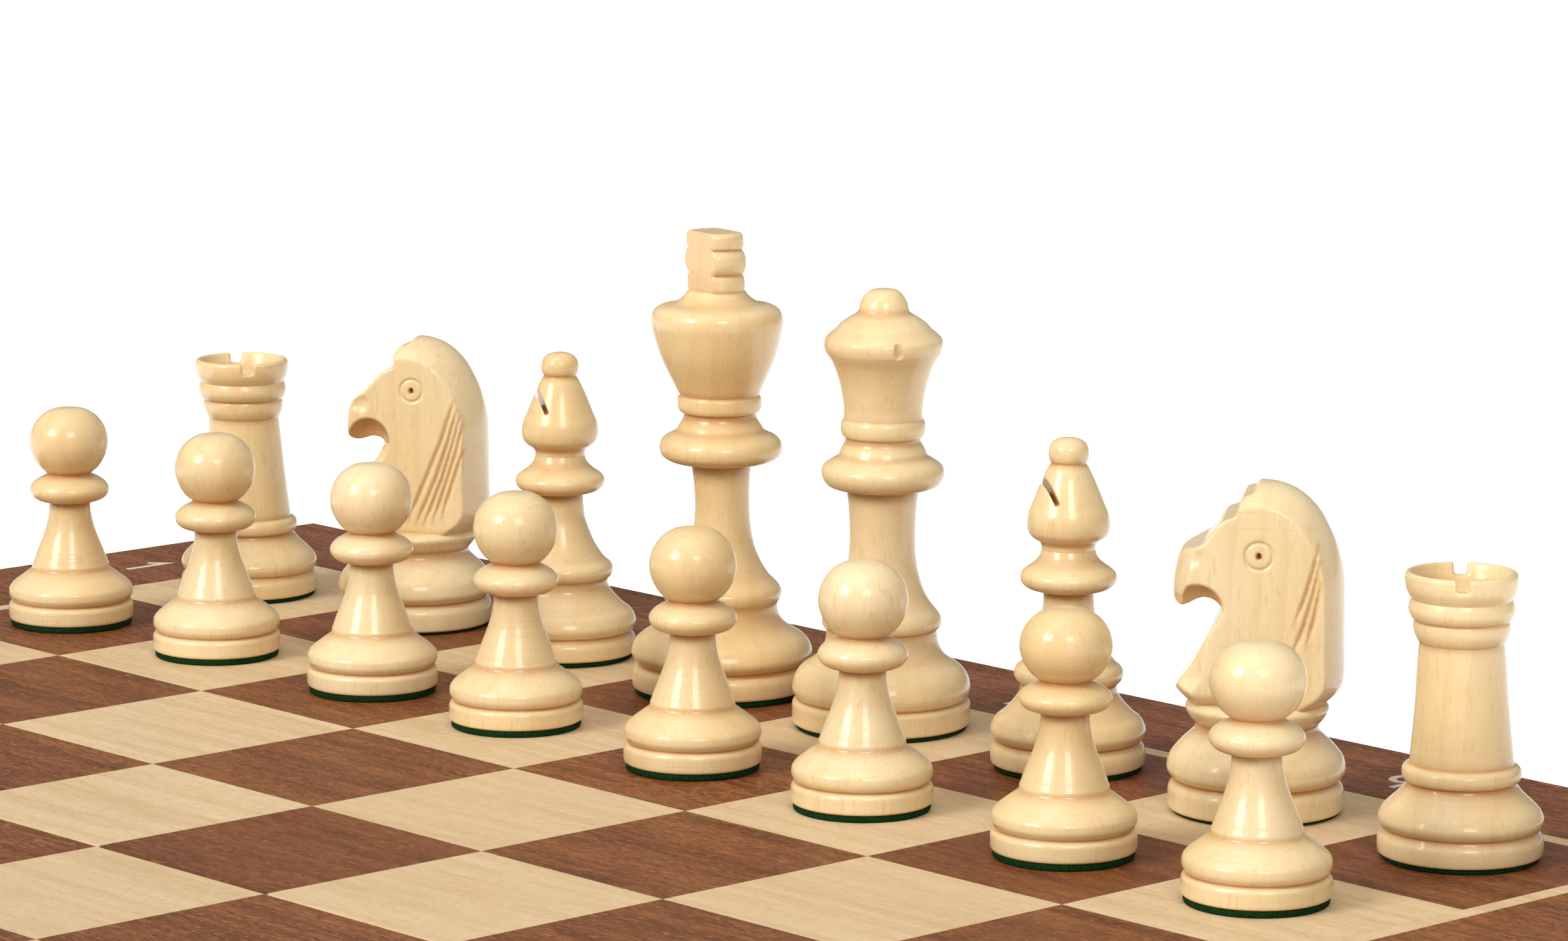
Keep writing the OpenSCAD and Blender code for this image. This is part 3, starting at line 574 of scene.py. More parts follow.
BISHOP_LOW = foot_round(12.1, 12.05, 4.5, 5.2, 0.68, 0.85) + [
    (12.15, 6.0), (12.1, 6.6), (11.4, 8.0), (10.3, 8.9), (9.2, 10.0), (8.3, 11.1), (7.7, 12.2), (7.55, 13.1), (7.6, 13.6, 1), (8.2, 14.1), (8.55, 14.9),
    (8.5, 15.7), (8.1, 16.35, 1), (7.4, 16.9), (6.5, 18.1), (5.5, 20.0), (4.75, 22.1), (4.2, 24.1), (3.98, 26.2), (3.92, 28.0, 1), (4.9, 28.25),
    (6.5, 28.75), (7.35, 29.5), (7.58, 30.4), (7.3, 31.15), (6.5, 31.85), (5.75, 32.35, 1), (5.0, 33.0), (4.42, 33.9), (4.18, 34.7), (4.1, 34.9), (0, 34.9)]
BISHOP_TOP = [(0, 34.6), (4.1, 34.6, 1), (4.18, 34.75), (4.28, 35.4), (4.7, 36.0), (5.6, 36.6), (6.2, 37.3), (6.45, 38.2), (6.48, 39.1), (6.25, 40.4), (5.6, 42.0),
              (4.85, 43.9), (3.95, 46.0), (3.2, 47.5), (2.72, 48.25, 1), (3.05, 48.9), (3.18, 49.8), (3.0, 50.8), (2.4, 51.65), (1.3, 52.15), (0, 52.3)]

QUEEN = foot(14.35, 14.35, 4.8, 5.45, 0.75) + [
    (14.35, 6.3), (14.3, 7.2), (13.9, 8.5), (13.0, 9.8), (11.6, 10.8), (10.3, 11.8), (9.5, 13.0), (9.05, 14.3), (8.9, 15.6), (8.95, 16.2, 1), (9.45, 16.6),
    (9.65, 17.4), (9.4, 18.35), (8.9, 19.1), (8.05, 20.1), (6.95, 21.9), (6.2, 24.0), (5.68, 26.2), (5.35, 28.8), (5.28, 31.6), (5.36, 34.0), (5.55, 36.6),
    (5.85, 38.75, 1), (7.3, 38.95), (8.85, 39.5), (9.65, 40.5), (9.9, 41.7), (9.55, 42.65), (8.5, 43.5), (7.45, 44.1, 1), (7.1, 44.45), (6.88, 45.1), (6.55, 45.75), (6.18, 46.4), (6.07, 46.95), (6.1, 47.25, 1), (6.5, 47.5),
    (6.76, 48.1), (6.84, 48.9), (6.76, 49.6), (6.56, 50.05, 1), (6.36, 50.25, 1), (6.33, 51.2), (6.36, 52.2), (6.5, 53.2), (6.7, 54.4), (6.98, 55.8), (7.4, 57.2), (7.8, 58.3), (8.3, 59.4), (8.85, 60.3),
    (9.3, 61.1), (9.55, 62.2), (9.4, 63.1), (8.7, 63.9, 1), (7.9, 64.55), (6.9, 65.6), (5.6, 66.55), (4.4, 67.25), (4.05, 67.7, 1), (3.95, 68.3), (3.6, 69.3), (3.0, 70.2),
    (2.2, 70.9), (1.2, 71.15), (0, 71.2)]

KING_LOW = foot_round(14.8, 14.7, 5.0, 5.9, 0.95, 1.0) + [
    (14.85, 6.4), (14.98, 7.1), (14.6, 8.3), (13.8, 9.4), (12.5, 10.3), (11.1, 11.2), (10.1, 12.1), (9.45, 13.2), (9.2, 14.3), (9.2, 15.1), (9.3, 15.4, 1), (9.75, 16.2),
    (9.85, 17.2), (9.5, 18.0), (8.7, 18.9), (7.9, 19.7), (7.0, 21.0), (6.1, 22.7), (5.3, 24.9), (4.78, 27.6), (4.55, 30.2), (4.56, 34.0), (4.85, 37.4), (5.0, 38.2, 1),
    (6.7, 38.5), (8.7, 39.0), (9.85, 39.9), (10.15, 41.1), (9.85, 42.2), (9.1, 42.95), (8.2, 43.4), (7.5, 43.75, 1), (7.15, 44.1), (6.87, 44.65), (6.5, 45.2), (6.12, 45.85), (5.98, 46.4), (6.0, 46.85, 1), (6.55, 47.05),
    (6.87, 47.6), (6.96, 48.5), (6.86, 49.4), (6.62, 49.75, 1), (6.6, 49.95, 1), (6.95, 50.6), (7.6, 52.0), (8.6, 54.1), (9.45, 56.1), (10.1, 58.2), (10.6, 60.2), (10.86, 61.5),
    (10.8, 62.7), (10.35, 63.8), (9.3, 64.5), (7.6, 64.85, 1), (6.9, 65.05), (5.7, 65.85), (5.0, 66.6), (4.7, 67.0), (0, 67.0)]
KING_TOP = [(0, 66.7), (4.6, 66.7, 1), (4.78, 67.05), (5.0, 67.5), (5.05, 68.5), (4.95, 69.4, 1), (4.6, 69.85, 1), (5.0, 70.3), (5.4, 71.1), (5.48, 72.0), (5.35, 73.0), (4.95, 73.7, 1),
            (4.55, 74.0, 1), (4.9, 74.3), (5.0, 75.2), (4.95, 76.2), (4.6, 76.7), (3.8, 76.8), (0, 76.8)]

KNIGHT_BASE = foot_round(13.3, 13.3, 4.9, 5.7, 0.75, 0.45) + [
    (13.5, 6.4), (13.5, 7.2), (13.1, 8.6), (12.2, 9.8), (11.2, 10.9), (10.2, 11.8), (9.5, 12.6), (9.3, 13.3), (9.35, 13.7, 1), (10.0, 14.4), (10.6, 15.3), (10.88, 16.0),
    (10.75, 16.45), (10.3, 16.75, 1), (9.9, 17.0), (0, 17.0)]
BLANK = [(0, 16.75), (10.0, 16.75, 1), (10.2, 17.2), (10.9, 17.9), (11.8, 18.9), (12.45, 20.2), (12.6, 21.6), (12.55, 25.0), (12.5, 30.0), (12.45, 33.0), (12.35, 36.0), (11.95, 38.5),
         (11.1, 41.5), (10.0, 44.0), (8.75, 46.2), (7.4, 47.8), (6.0, 49.0), (4.4, 49.9), (2.4, 50.5), (0, 50.7)]


# side outlines of the two knights, nose towards +X
HEAD_A = [(-10.5, 16.4, 1), (-14, 16.4, 1), (-14, 52, 1), (0.1, 52, 1), (0.2, 50.6), (0.45, 50.0), (0.95, 49.35), (1.5, 49.2), (2.2, 48.95), (2.7, 48.3), (2.85, 47.4),
          (3.1, 46.5), (3.8, 45.95), (5.0, 45.5), (5.9, 44.7), (6.9, 43.2), (8.1, 41.9), (9.2, 41.3), (10.2, 40.9), (11.5, 40.3), (12.3, 39.5), (13.8, 38.9, 1),
          (14.5, 38.7, 1), (14.5, 34.0, 1), (13.9, 33.8, 1), (12.9, 33.1), (12.2, 32.55), (11.0, 32.3), (10.0, 32.65), (8.9, 33.25), (7.5, 33.55), (6.2, 33.15),
          (5.35, 32.45), (5.05, 31.9), (5.6, 30.8), (6.7, 28.8), (8.1, 26.2), (9.5, 23.5), (10.8, 21.5), (11.9, 20.0), (12.4, 18.9), (12.2, 18.0), (11.3, 17.2), (10.3, 16.4, 1)]
HEAD_B = [(-10.5, 16.4, 1), (-14, 16.4, 1), (-14, 52, 1), (-0.6, 52, 1), (-0.5, 50.7), (-0.2, 50.1), (0.3, 49.6), (1.0, 49.55), (1.6, 49.1), (1.9, 48.2), (1.75, 47.2),
          (2.0, 46.2), (2.8, 45.75), (3.9, 45.2), (5.0, 44.0), (6.3, 42.6), (7.6, 41.3), (8.7, 40.6), (9.5, 39.8), (9.8, 39.1), (10.1, 36.4), (10.1, 34.6), (9.85, 33.7),
          (9.2, 33.15), (8.2, 33.05), (7.1, 33.35), (6.1, 33.6), (4.9, 33.45), (4.1, 33.1), (3.85, 32.6), (4.4, 31.5), (5.3, 29.8), (6.6, 27.4), (8.1, 24.7), (9.7, 22.1),
          (11.0, 20.5), (12.0, 19.4), (12.4, 18.6), (12.1, 17.8), (11.3, 17.2), (10.4, 16.4, 1)]


def seg_dist(x, z, a, b):
    ax, az = a
    bx, bz = b
    ex, ez = bx - ax, bz - az
    t = np.clip(((x - ax) * ex + (z - az) * ez) / (ex * ex + ez * ez), 0, 1)
    return np.hypot(x - ax - t * ex, z - az - t * ez)


def path_dist(x, z, pts):
    d = 1e9
    for a, b in zip(pts[:-1], pts[1:]):
        d = np.minimum(d, seg_dist(x, z, a, b))
    return d


def knight_head(head, eye, eye_r, scoop, nostril, mane, h):
    T = 7.5
    side = Outline(closed(head), (-15, 15.5), (15.5, 53))
    bl = curve(BLANK)
    blank = Outline(np.vstack([bl, [[-4, bl[-1, 1]], [-4, bl[0, 1]]]]), (-1, 15.5), (15.5, 53))

    def f(x, y, z):
        ay = np.abs(y)
        d1 = side(x, z)
        d2 = ay - T
        r = np.hypot(x * 0.965, y)
        d = smax(d1, d2, 0.6)
        front = np.clip((30.5 - z) / 9.0, 0, 1) * np.clip((x - 2.0) / 2.0, 0, 1)
        cut = np.where(front > 0, -0.6 + 2.9 * front, -6.0)
        d = smax(d, (d1 + d2 + cut) * 0.7071, 0.4)
        d = smax(d, blank(r, z), 0.28)
        # scoop under the muzzle
        for (cx, cy, cz, a, b, c) in scoop:
            k = np.sqrt(((x - cx) / a) ** 2 + ((ay - cy) / b) ** 2 + ((z - cz) / c) ** 2)
            d = smax(d, -(k - 1) * min(a, b, c), 0.35)
        cx, cy, cz, rr = nostril
        d = smax(d, rr - np.sqrt((x - cx) ** 2 + (ay - cy) ** 2 + (z - cz) ** 2), 0.25)
        # eye: a ring cut with a small drilled centre
        rho = np.hypot(x - eye[0], z - eye[1])
        d = smax(d, 0.27 - np.hypot(rho - eye_r, ay - T - 0.05), 0.10)
        hole = np.hypot((x - eye[0]) * 1.15, (z - eye[1]) * 0.8)
        d = smax(d, np.minimum(0.42 - hole - 0.15 * (T - ay), ay - (T - 1.1)), 0.12)
        # mane: long cuts with a V section
        for pts in mane:
            pd = path_dist(x, z, pts)
            s0 = np.hypot(x - pts[0][0], z - pts[0][1])
            s1 = np.hypot(x - pts[-1][0], z - pts[-1][1])
            fade = np.clip(np.minimum(s0, s1) / 3.0, 0, 1)
            surf = np.minimum(d2, -0.0) * 0 + np.maximum(d2, blank(r, z))
            depth = 0.52 * (0.2 + 0.8 * fade)
            d = smax(d, (depth - pd * 1.05 + surf) * 0.70, 0.10)
        return d

    v, q = nets(f, (-13.4, -8.4, 16.0), (13.4, 8.4, 51.4), h)
    x, y, z = v.T
    ay = np.abs(y)
    # painted shade: darker colour in the scoop under the muzzle, the eye ring and its drilled centre, the mane cuts,
    # under the jaw and at the foot of the head
    t = np.zeros(len(v))
    for (cx, cy, cz, a, b, c) in scoop:
        k = np.sqrt(((x - cx) / a) ** 2 + ((ay - cy) / b) ** 2 + ((z - cz) / c) ** 2)
        t = np.maximum(t, np.clip((1.07 - k) / 0.07, 0, 1) * 0.75 * (z > 32.7))
    rho = np.hypot(x - eye[0], z - eye[1])
    t = np.maximum(t, np.clip(1 - np.abs(rho - eye_r) / 0.35, 0, 1) * (ay > T - 0.6) * 0.16)
    t = np.maximum(t, np.clip((0.7 - rho) / 0.3, 0, 1) * (ay > T - 1.3) * 0.85)
    for pts in mane:
        t = np.maximum(t, np.clip(1 - path_dist(x, z, pts) / 0.55, 0, 1) * (ay > T - 1.5) * 0.38)
    under = (z < 34.0) & (z > 31.6) & (x > 3.8) & (ay < T - 0.4)
    t = np.maximum(t, under * 0.5)
    t = np.maximum(t, np.clip((18.2 - z) / 1.3, 0, 1) * 0.55)
    return v, q, t


def turned_top(pts, cut, lo, hi, h, painted_shade=None):
    """Carves a revolved profile with cut(x, y, z, d) and meshes it."""
    p = curve(pts)
    zlo, zhi = p[:, 1].min(), p[:, 1].max()
    closed_p = np.vstack([p, [[-3, p[-1, 1]], [-3, p[0, 1]]]])
    rev = Outline(closed_p, (-0.6, zlo - 1), (p[:, 0].max() + 1.5, zhi + 1), 0.06)

    def f(x, y, z):
        return cut(x, y, z, rev(np.hypot(x, y), z))

    v, q = nets(f, lo, hi, h)
    # painted shade from the profile, given to each carved vertex from the nearest profile point
    tt = painted_shade_amounts(p)
    outer = p[:, 0] > 0.2
    r = np.hypot(v[:, 0], v[:, 1])
    # nearest profile point by table
    pp, t2 = p[outer], tt[outer]
    t = np.zeros(len(v))
    for s in range(0, len(v), 4000):
        d = (r[s:s + 4000, None] - pp[None, ::3, 0]) ** 2 + (v[s:s + 4000, 2:3] - pp[None, ::3, 1]) ** 2
        t[s:s + 4000] = t2[::3][d.argmin(1)]
    if painted_shade is not None:
        t = np.maximum(t, painted_shade(v[:, 0], v[:, 1], v[:, 2]))
    return v, q, t


def join(parts):
    """Puts (verts, list of face arrays, painted shade amounts) parts together."""
    vs, quads, tris, ts, n = [], [], [], [], 0
    for v, faces, t in parts:
        for f in faces:
            (quads if f.shape[1] == 4 else tris).append(f + n)
        vs.append(v)
        ts.append(t)
        n += len(v)
    return np.vstack(vs), (np.vstack(quads) if quads else None), (np.vstack(tris) if tris else None), np.concatenate(ts)


def turned(pts, angles, tol=0.006):
    p = curve(pts)
    p, t = thin(p, painted_shade_amounts(p), tol)
    v, q, tri, tt = lathe(p, t, angles)
    return v, [q, tri], tt


H = 1.0
SEG = 120
print("building shapes")
SHAPE = {}
SHAPE["pawn"] = join([turned(PAWN, ring_angles(SEG))])


def rook_cut(x, y, z, d):
    slot = smax(np.abs(y) - 0.95, 40.75 - z, 0.7)
    return smax(d, -slot, 0.55)


v, q, t = turned_top(ROOK_TOP, rook_cut, (-9, -9, 38.0), (9, 9, 43.1), 0.15 * H)
SHAPE["rook"] = join([turned(ROOK_LOW, ring_angles(SEG)), (v, [q], t)])

SA, CA = math.sin(math.radians(17)), math.cos(math.radians(17))


def bishop_slot(x, y, z):
    # distance from the saw cut: a thin plane that leans outwards as it rises, stopping at its root
    u = (x - 3.05) * CA - (z - 42.3) * SA
    w = (x - 3.05) * SA + (z - 42.3) * CA
    return smax(np.abs(u) - 0.34, -w, 0.3)


def bishop_cut(x, y, z, d):
    return smax(d, -bishop_slot(x, y, z), 0.22)


# the extra amount paints shade inside the saw cut
v, q, t = turned_top(BISHOP_TOP, bishop_cut, (-7.2, -7.2, 34.2), (7.2, 7.2, 52.8), 0.15 * H,
                     lambda x, y, z: np.clip(1 - np.abs(bishop_slot(x, y, z)) / 0.12, 0, 1) * (np.hypot(x, y) < np.interp(z, [42, 46, 48], [5.35, 3.8, 2.9])) * 0.95)
SHAPE["bishop"] = join([turned(BISHOP_LOW, ring_angles(SEG)), (v, [q], t)])

FLAT = 3.15


def king_cut(x, y, z, d):
    return smax(d, np.abs(x) - FLAT, 0.45)


v, q, t = turned_top(KING_TOP, king_cut, (-6.2, -6.2, 66.3), (6.2, 6.2, 77.3), 0.12 * H)
# painted shade on the cut flats, slight at the top and heavier towards their foot
t = np.where(np.abs(v[:, 0]) > FLAT - 0.25, 0.10 + 0.22 * np.clip((72 - v[:, 2]) / 4, 0, 1), t)
SHAPE["king"] = join([turned(KING_LOW, ring_angles(SEG + 8)), (v, [q], t)])

NOTCH = [0, np.pi / 2, np.pi, 3 * np.pi / 2]
qa = ring_angles(SEG + 8, NOTCH, 0.13, 22)
p = curve(QUEEN)
p, t = thin(p, painted_shade_amounts(p), 0.006, 0.5)
v, q, tri, tt = lathe(p, t, qa)
r = np.hypot(v[:, 0], v[:, 1])
th = np.arctan2(v[:, 1], v[:, 0])
for c in NOTCH:
    dth = (th - c + np.pi) % (2 * np.pi) - np.pi
    side = r * np.sin(dth)
    lim = 9.75 - np.sqrt(np.maximum(0.8 ** 2 - side ** 2, 0)) * np.clip((v[:, 2] - 60.4) / 1.0, 0, 1)
    hit = (np.abs(side) < 0.8) & (np.abs(dth) < 0.3) & (v[:, 2] > 60.3) & (v[:, 2] < 64.9) & (r > lim)
    k = np.where(hit, lim / np.maximum(r, 1e-6), 1)
    v[:, 0] *= k
    v[:, 1] *= k
    # painted shade in the four notches of the crown
    tt = np.where(hit, np.maximum(tt, 0.3), tt)
SHAPE["queen"] = join([(v, [q, tri], tt)])


def on_flat(pts, axis_u, shift, cosb):
    """Points read off the flat side, as (u, z), to the head's own x and z."""
    return [(-(u + axis_u + shift) / cosb, z) for u, z in pts]


MANE_A = [on_flat(m, 0.6, 1.04, 0.99) for m in (
    [(7.5, 42.1), (6.7, 38.0), (5.5, 33.8), (4.0, 29.9)],
    [(7.7, 39.6), (6.9, 35.0), (5.6, 30.0), (3.7, 24.9)],
    [(7.9, 36.6), (7.1, 31.5), (5.9, 26.4)])]
MANE_B = [on_flat(m, 0.2, 1.62, 0.976) for m in (
    [(7.0, 40.5), (5.0, 34.0), (2.6, 28.0), (0.3, 22.5), (-1.2, 19.0)],
    [(7.6, 39.0), (5.9, 33.0), (3.9, 27.0), (1.6, 21.5), (0.3, 18.6)],
    [(8.1, 38.0), (6.8, 33.0), (5.0, 27.0), (2.9, 21.5), (1.6, 18.4)],
    [(8.5, 36.5), (7.5, 32.0), (5.9, 27.0), (4.3, 22.0), (3.2, 19.0)],
    [(8.6, 32.0), (7.2, 27.5), (5.9, 23.5), (4.9, 20.0)])]
base = turned(KNIGHT_BASE, ring_angles(SEG))
v, q, t = knight_head(HEAD_A, (-0.35, 40.3), 2.05, [(8.9, 8.9, 32.1, 4.2, 3.6, 3.9)], (9.9, 9.6, 39.9, 2.75), MANE_A, 0.25 * H)
SHAPE["knight_b"] = join([base, (v, [q], t)])
v, q, t = knight_head(HEAD_B, (-1.45, 42.1), 1.95, [(6.35, 8.9, 33.0, 4.0, 3.8, 4.3)], (7.8, 9.5, 39.6, 2.6), MANE_B, 0.25 * H)
SHAPE["knight_g"] = join([base, (v, [q], t)])
print("shapes built", {k: len(s[0]) for k, s in SHAPE.items()})

FOOT = {"pawn": 10.8, "rook": 12.15, "bishop": 12.1, "queen": 14.35, "king": 14.8, "knight": 13.3}


def felt_disc(r, ft):
    pts = [(0, 0), (r - 0.20, 0, 1), (r - 0.05, 0.10), (r, ft * 0.3), (r + 0.03, ft * 0.7), (r - 0.02, ft - 0.02, 1), (0, ft - 0.02)]
    return turned(pts, ring_angles(64), 0.02)


# file, rank, offset x, offset y, turn, shape, yellowness
WHITE = {"rook_a": (0, 0, 1.6, -4.2, 132.5, "rook", 0.40), "knight_b": (1, 0, 3.0, -4.9, 39, "knight_b", 0.05),
         "bishop_c": (2, 0, 2.9, -4.9, 62, "bishop", 0.45), "queen_d": (3, 0, 4.8, -4.6, 61, "queen", 0.50),
         "king_e": (4, 0, 2.4, -4.0, 82, "king", 0.60), "bishop_f": (5, 0, 2.8, -4.5, 60, "bishop", 0.55),
         "knight_g": (6, 0, 2.8, -4.5, 35, "knight_g", 0.25), "rook_h": (7, 0, 3.7, 0.6, 150, "rook", 0.40),
         "pawn_a": (0, 1, 2.8, -1.8, 0, "pawn", 0.35), "pawn_b": (1, 1, 1.0, -1.6, 20, "pawn", 0.60),
         "pawn_c": (2, 1, 3.5, -1.2, 60, "pawn", 0.12), "pawn_d": (3, 1, 1.9, -1.2, 80, "pawn", 0.50),
         "pawn_e": (4, 1, 4.7, -1.4, 110, "pawn", 0.35), "pawn_f": (5, 1, 1.6, -1.5, 200, "pawn", 0.22),
         "pawn_g": (6, 1, 2.9, -0.8, 150, "pawn", 0.28), "pawn_h": (7, 1, 2.1, 1.1, 310, "pawn", 0.48)}
BLACK = {"rook_a": (0, 7, 0.5, 1.5, 95, "rook", 0.5), "knight_b": (1, 7, -0.5, 1.0, 262, "knight_b", 0.3),
         "bishop_c": (2, 7, 1.0, 0.5, 270, "bishop", 0.4), "queen_d": (3, 7, 0.0, 1.0, 40, "queen", 0.6),
         "king_e": (4, 7, 0.5, 0.5, 88, "king", 0.4), "bishop_f": (5, 7, -1.0, 1.0, 268, "bishop", 0.3),
         "knight_g": (6, 7, 0.5, 1.5, 275, "knight_g", 0.5), "rook_h": (7, 7, -0.5, 1.0, 92, "rook", 0.4),
         "pawn_a": (0, 7, -38.0, 18.0, 0, "pawn", 0.5), "pawn_b": (1, 6, 0.5, 1.0, 30, "pawn", 0.3),
         "pawn_c": (2, 6, -1.0, 0.5, 70, "pawn", 0.4), "pawn_d": (3, 6, 0.5, -0.5, 120, "pawn", 0.6),
         "pawn_e": (4, 6, 1.0, 0.5, 10, "pawn", 0.5), "pawn_f": (5, 6, -0.5, 1.0, 220, "pawn", 0.3),
         "pawn_g": (6, 6, 0.0, 0.5, 160, "pawn", 0.5), "pawn_h": (7, 6, 1.0, -0.5, 300, "pawn", 0.4)}

rng = random.Random(7)


def vary(colour, key, v):
    """Small turning differences between men: a lean, a lower or a fuller head. In board directions, mm."""
    v = v.copy()
    if colour != "white":
        return v
    x, y, z = v.T
    left = np.array([0.679, 0.734])
    lean = {"rook_a": (0.66, 12, 30), "rook_h": (1.0, 10, 30), "king_e": (1.35, 32, 45), "bishop_f": (0.75, 8, 16), "bishop_c": (0.4, 15, 30)}
    if key in lean:
        d, z0, dz = lean[key]
        v[:, :2] += d * np.clip((z - z0) / dz, 0, 1)[:, None] * left
    if key == "pawn_a":
        full = 1 + 0.022 * np.clip((z - 26.6) / 2.0, 0, 1)
        v[:, :2] = v[:, :2] * full[:, None] + 0.30 * np.clip((z - 12.0) / 10.0, 0, 1)[:, None] * left
        v[:, 2] = np.where(z > 33, 33 + (z - 33) * 0.93, z)
    elif key == "pawn_b":
        v[:, 2] = np.where(z > 26.6, 26.2 + (z - 26.6) * 10.8 / 11.55, z - 0.4 * np.clip((z - 21.7) / 4.9, 0, 1))
    return v



def place_man(colour, key, spec, mat):
    f, rk, dx, dy, turn, shape, tone = spec
    v, q, tri, painted_shade = SHAPE[shape]
    kind = shape.split("_")[0]
    a = math.radians(turn)
    rot = np.array([[math.cos(a), -math.sin(a), 0], [math.sin(a), math.cos(a), 0], [0, 0, 1]])
    org = np.array([(f - 3.5) * SQ + dx, (rk - 3.5) * SQ + dy, TOP + 0.02])
    # wood coordinates in centimetres: the pith lies some way off the axis
    ta, tb = rng.uniform(-0.05, 0.05), rng.uniform(-0.05, 0.05)
    ph = rng.uniform(0, 2 * math.pi)
    off = rng.uniform(1.6, 4.2)
    w = v / 10.0
    wood = np.c_[w[:, 0] + ta * w[:, 2] + off * math.cos(ph), w[:, 1] + tb * w[:, 2] + off * math.sin(ph), w[:, 2] + rng.uniform(0, 60)]
    body = f"{colour}_{key}"
    V = vary(colour, key, v @ rot.T) + org
    faces = q if tri is None else None
    if faces is None:
        tri4 = np.c_[tri, tri[:, :1]]
        me_faces = [tuple(x) for x in q.tolist()] + [tuple(x) for x in tri.tolist()]
    else:
        me_faces = faces
    node = f"{colour}_{key}"
    # each vertex carries its painted shade amount for grooves, cuts and undersides
    wood_o = make(node + "_wood", V, me_faces, body, [mat], {"wood": wood, "painted_shade": painted_shade, "tone": np.full(len(v), tone)}, True, (node,))
    fv, ff, ftt = felt_disc(FOOT[kind] - (0.35 if kind == "pawn" else 0.55), FELT_T[kind])
    fl = [tuple(x) for x in ff[0].tolist()] + [tuple(x) for x in ff[1].tolist()]
    felt_o = make(node + "_felt", fv @ rot.T + org, fl, body, [FELT], None, True, (node,))
    return wood_o, felt_o


for k, sp in WHITE.items():
    place_man("white", k, sp, LIGHT_MAN)
for k, sp in BLACK.items():
    place_man("black", k, sp, DARK_MAN)
print("men placed")

# ------------------------------------------------------------------ playing surface


def tile(x0, x1, y0, y1, z0, z1, b):
    """A flat slab with a small bevel round its top; b gives the bevel of sides x0, x1, y0, y1."""
    bx0, bx1, by0, by1 = b
    X0, X1, Y_0, Y1 = x0, x1, y0, y1
    zb = 0.7
    ring0 = [(X0, Y_0, z0), (X1, Y_0, z0), (X1, Y1, z0), (X0, Y1, z0)]
    ring1 = [(X0, Y_0, z1 - max(bx0, by0) * zb), (X1, Y_0, z1 - max(bx1, by0) * zb), (X1, Y1, z1 - max(bx1, by1) * zb), (X0, Y1, z1 - max(bx0, by1) * zb)]
    ring2 = [(X0 + bx0 * 0.3, Y_0 + by0 * 0.3, z1 - 0.22 * max(bx0, by0)), (X1 - bx1 * 0.3, Y_0 + by0 * 0.3, z1 - 0.22 * max(bx1, by0)),
             (X1 - bx1 * 0.3, Y1 - by1 * 0.3, z1 - 0.22 * max(bx1, by1)), (X0 + bx0 * 0.3, Y1 - by1 * 0.3, z1 - 0.22 * max(bx0, by1))]
    ring3 = [(X0 + bx0, Y_0 + by0, z1), (X1 - bx1, Y_0 + by0, z1), (X1 - bx1, Y1 - by1, z1), (X0 + bx0, Y1 - by1, z1)]
    v = ring0 + ring1 + ring2 + ring3
    f = [(3, 2, 1, 0)]
    for k in range(3):
        for i in range(4):
            j = (i + 1) % 4
            f.append((k * 4 + i, k * 4 + j, k * 4 + 4 + j, k * 4 + 4 + i))
    f.append((12, 13, 14, 15))
    return v, f


class Slabs:
    def __init__(self, seed):
        self.v, self.f, self.w, self.t = [], [], [], []
        self.r = random.Random(seed)

    def add(self, x0, x1, y0, y1, bev, tone, along_x=True):
        v, f = tile(x0, x1, y0, y1, VEN + 0.01, TOP, bev)
        n = len(self.v)
        self.v += v
        self.f += [tuple(i + n for i in q) for q in f]
        ox, oy, oz = (self.r.uniform(0, 400) for _ in range(3))
        for p in v:
            a, b = (p[0], p[1]) if along_x else (p[1], p[0])
            self.w.append((a / 10 + ox, b / 10 + oy, p[2] / 10 + oz))
            self.t.append(tone)


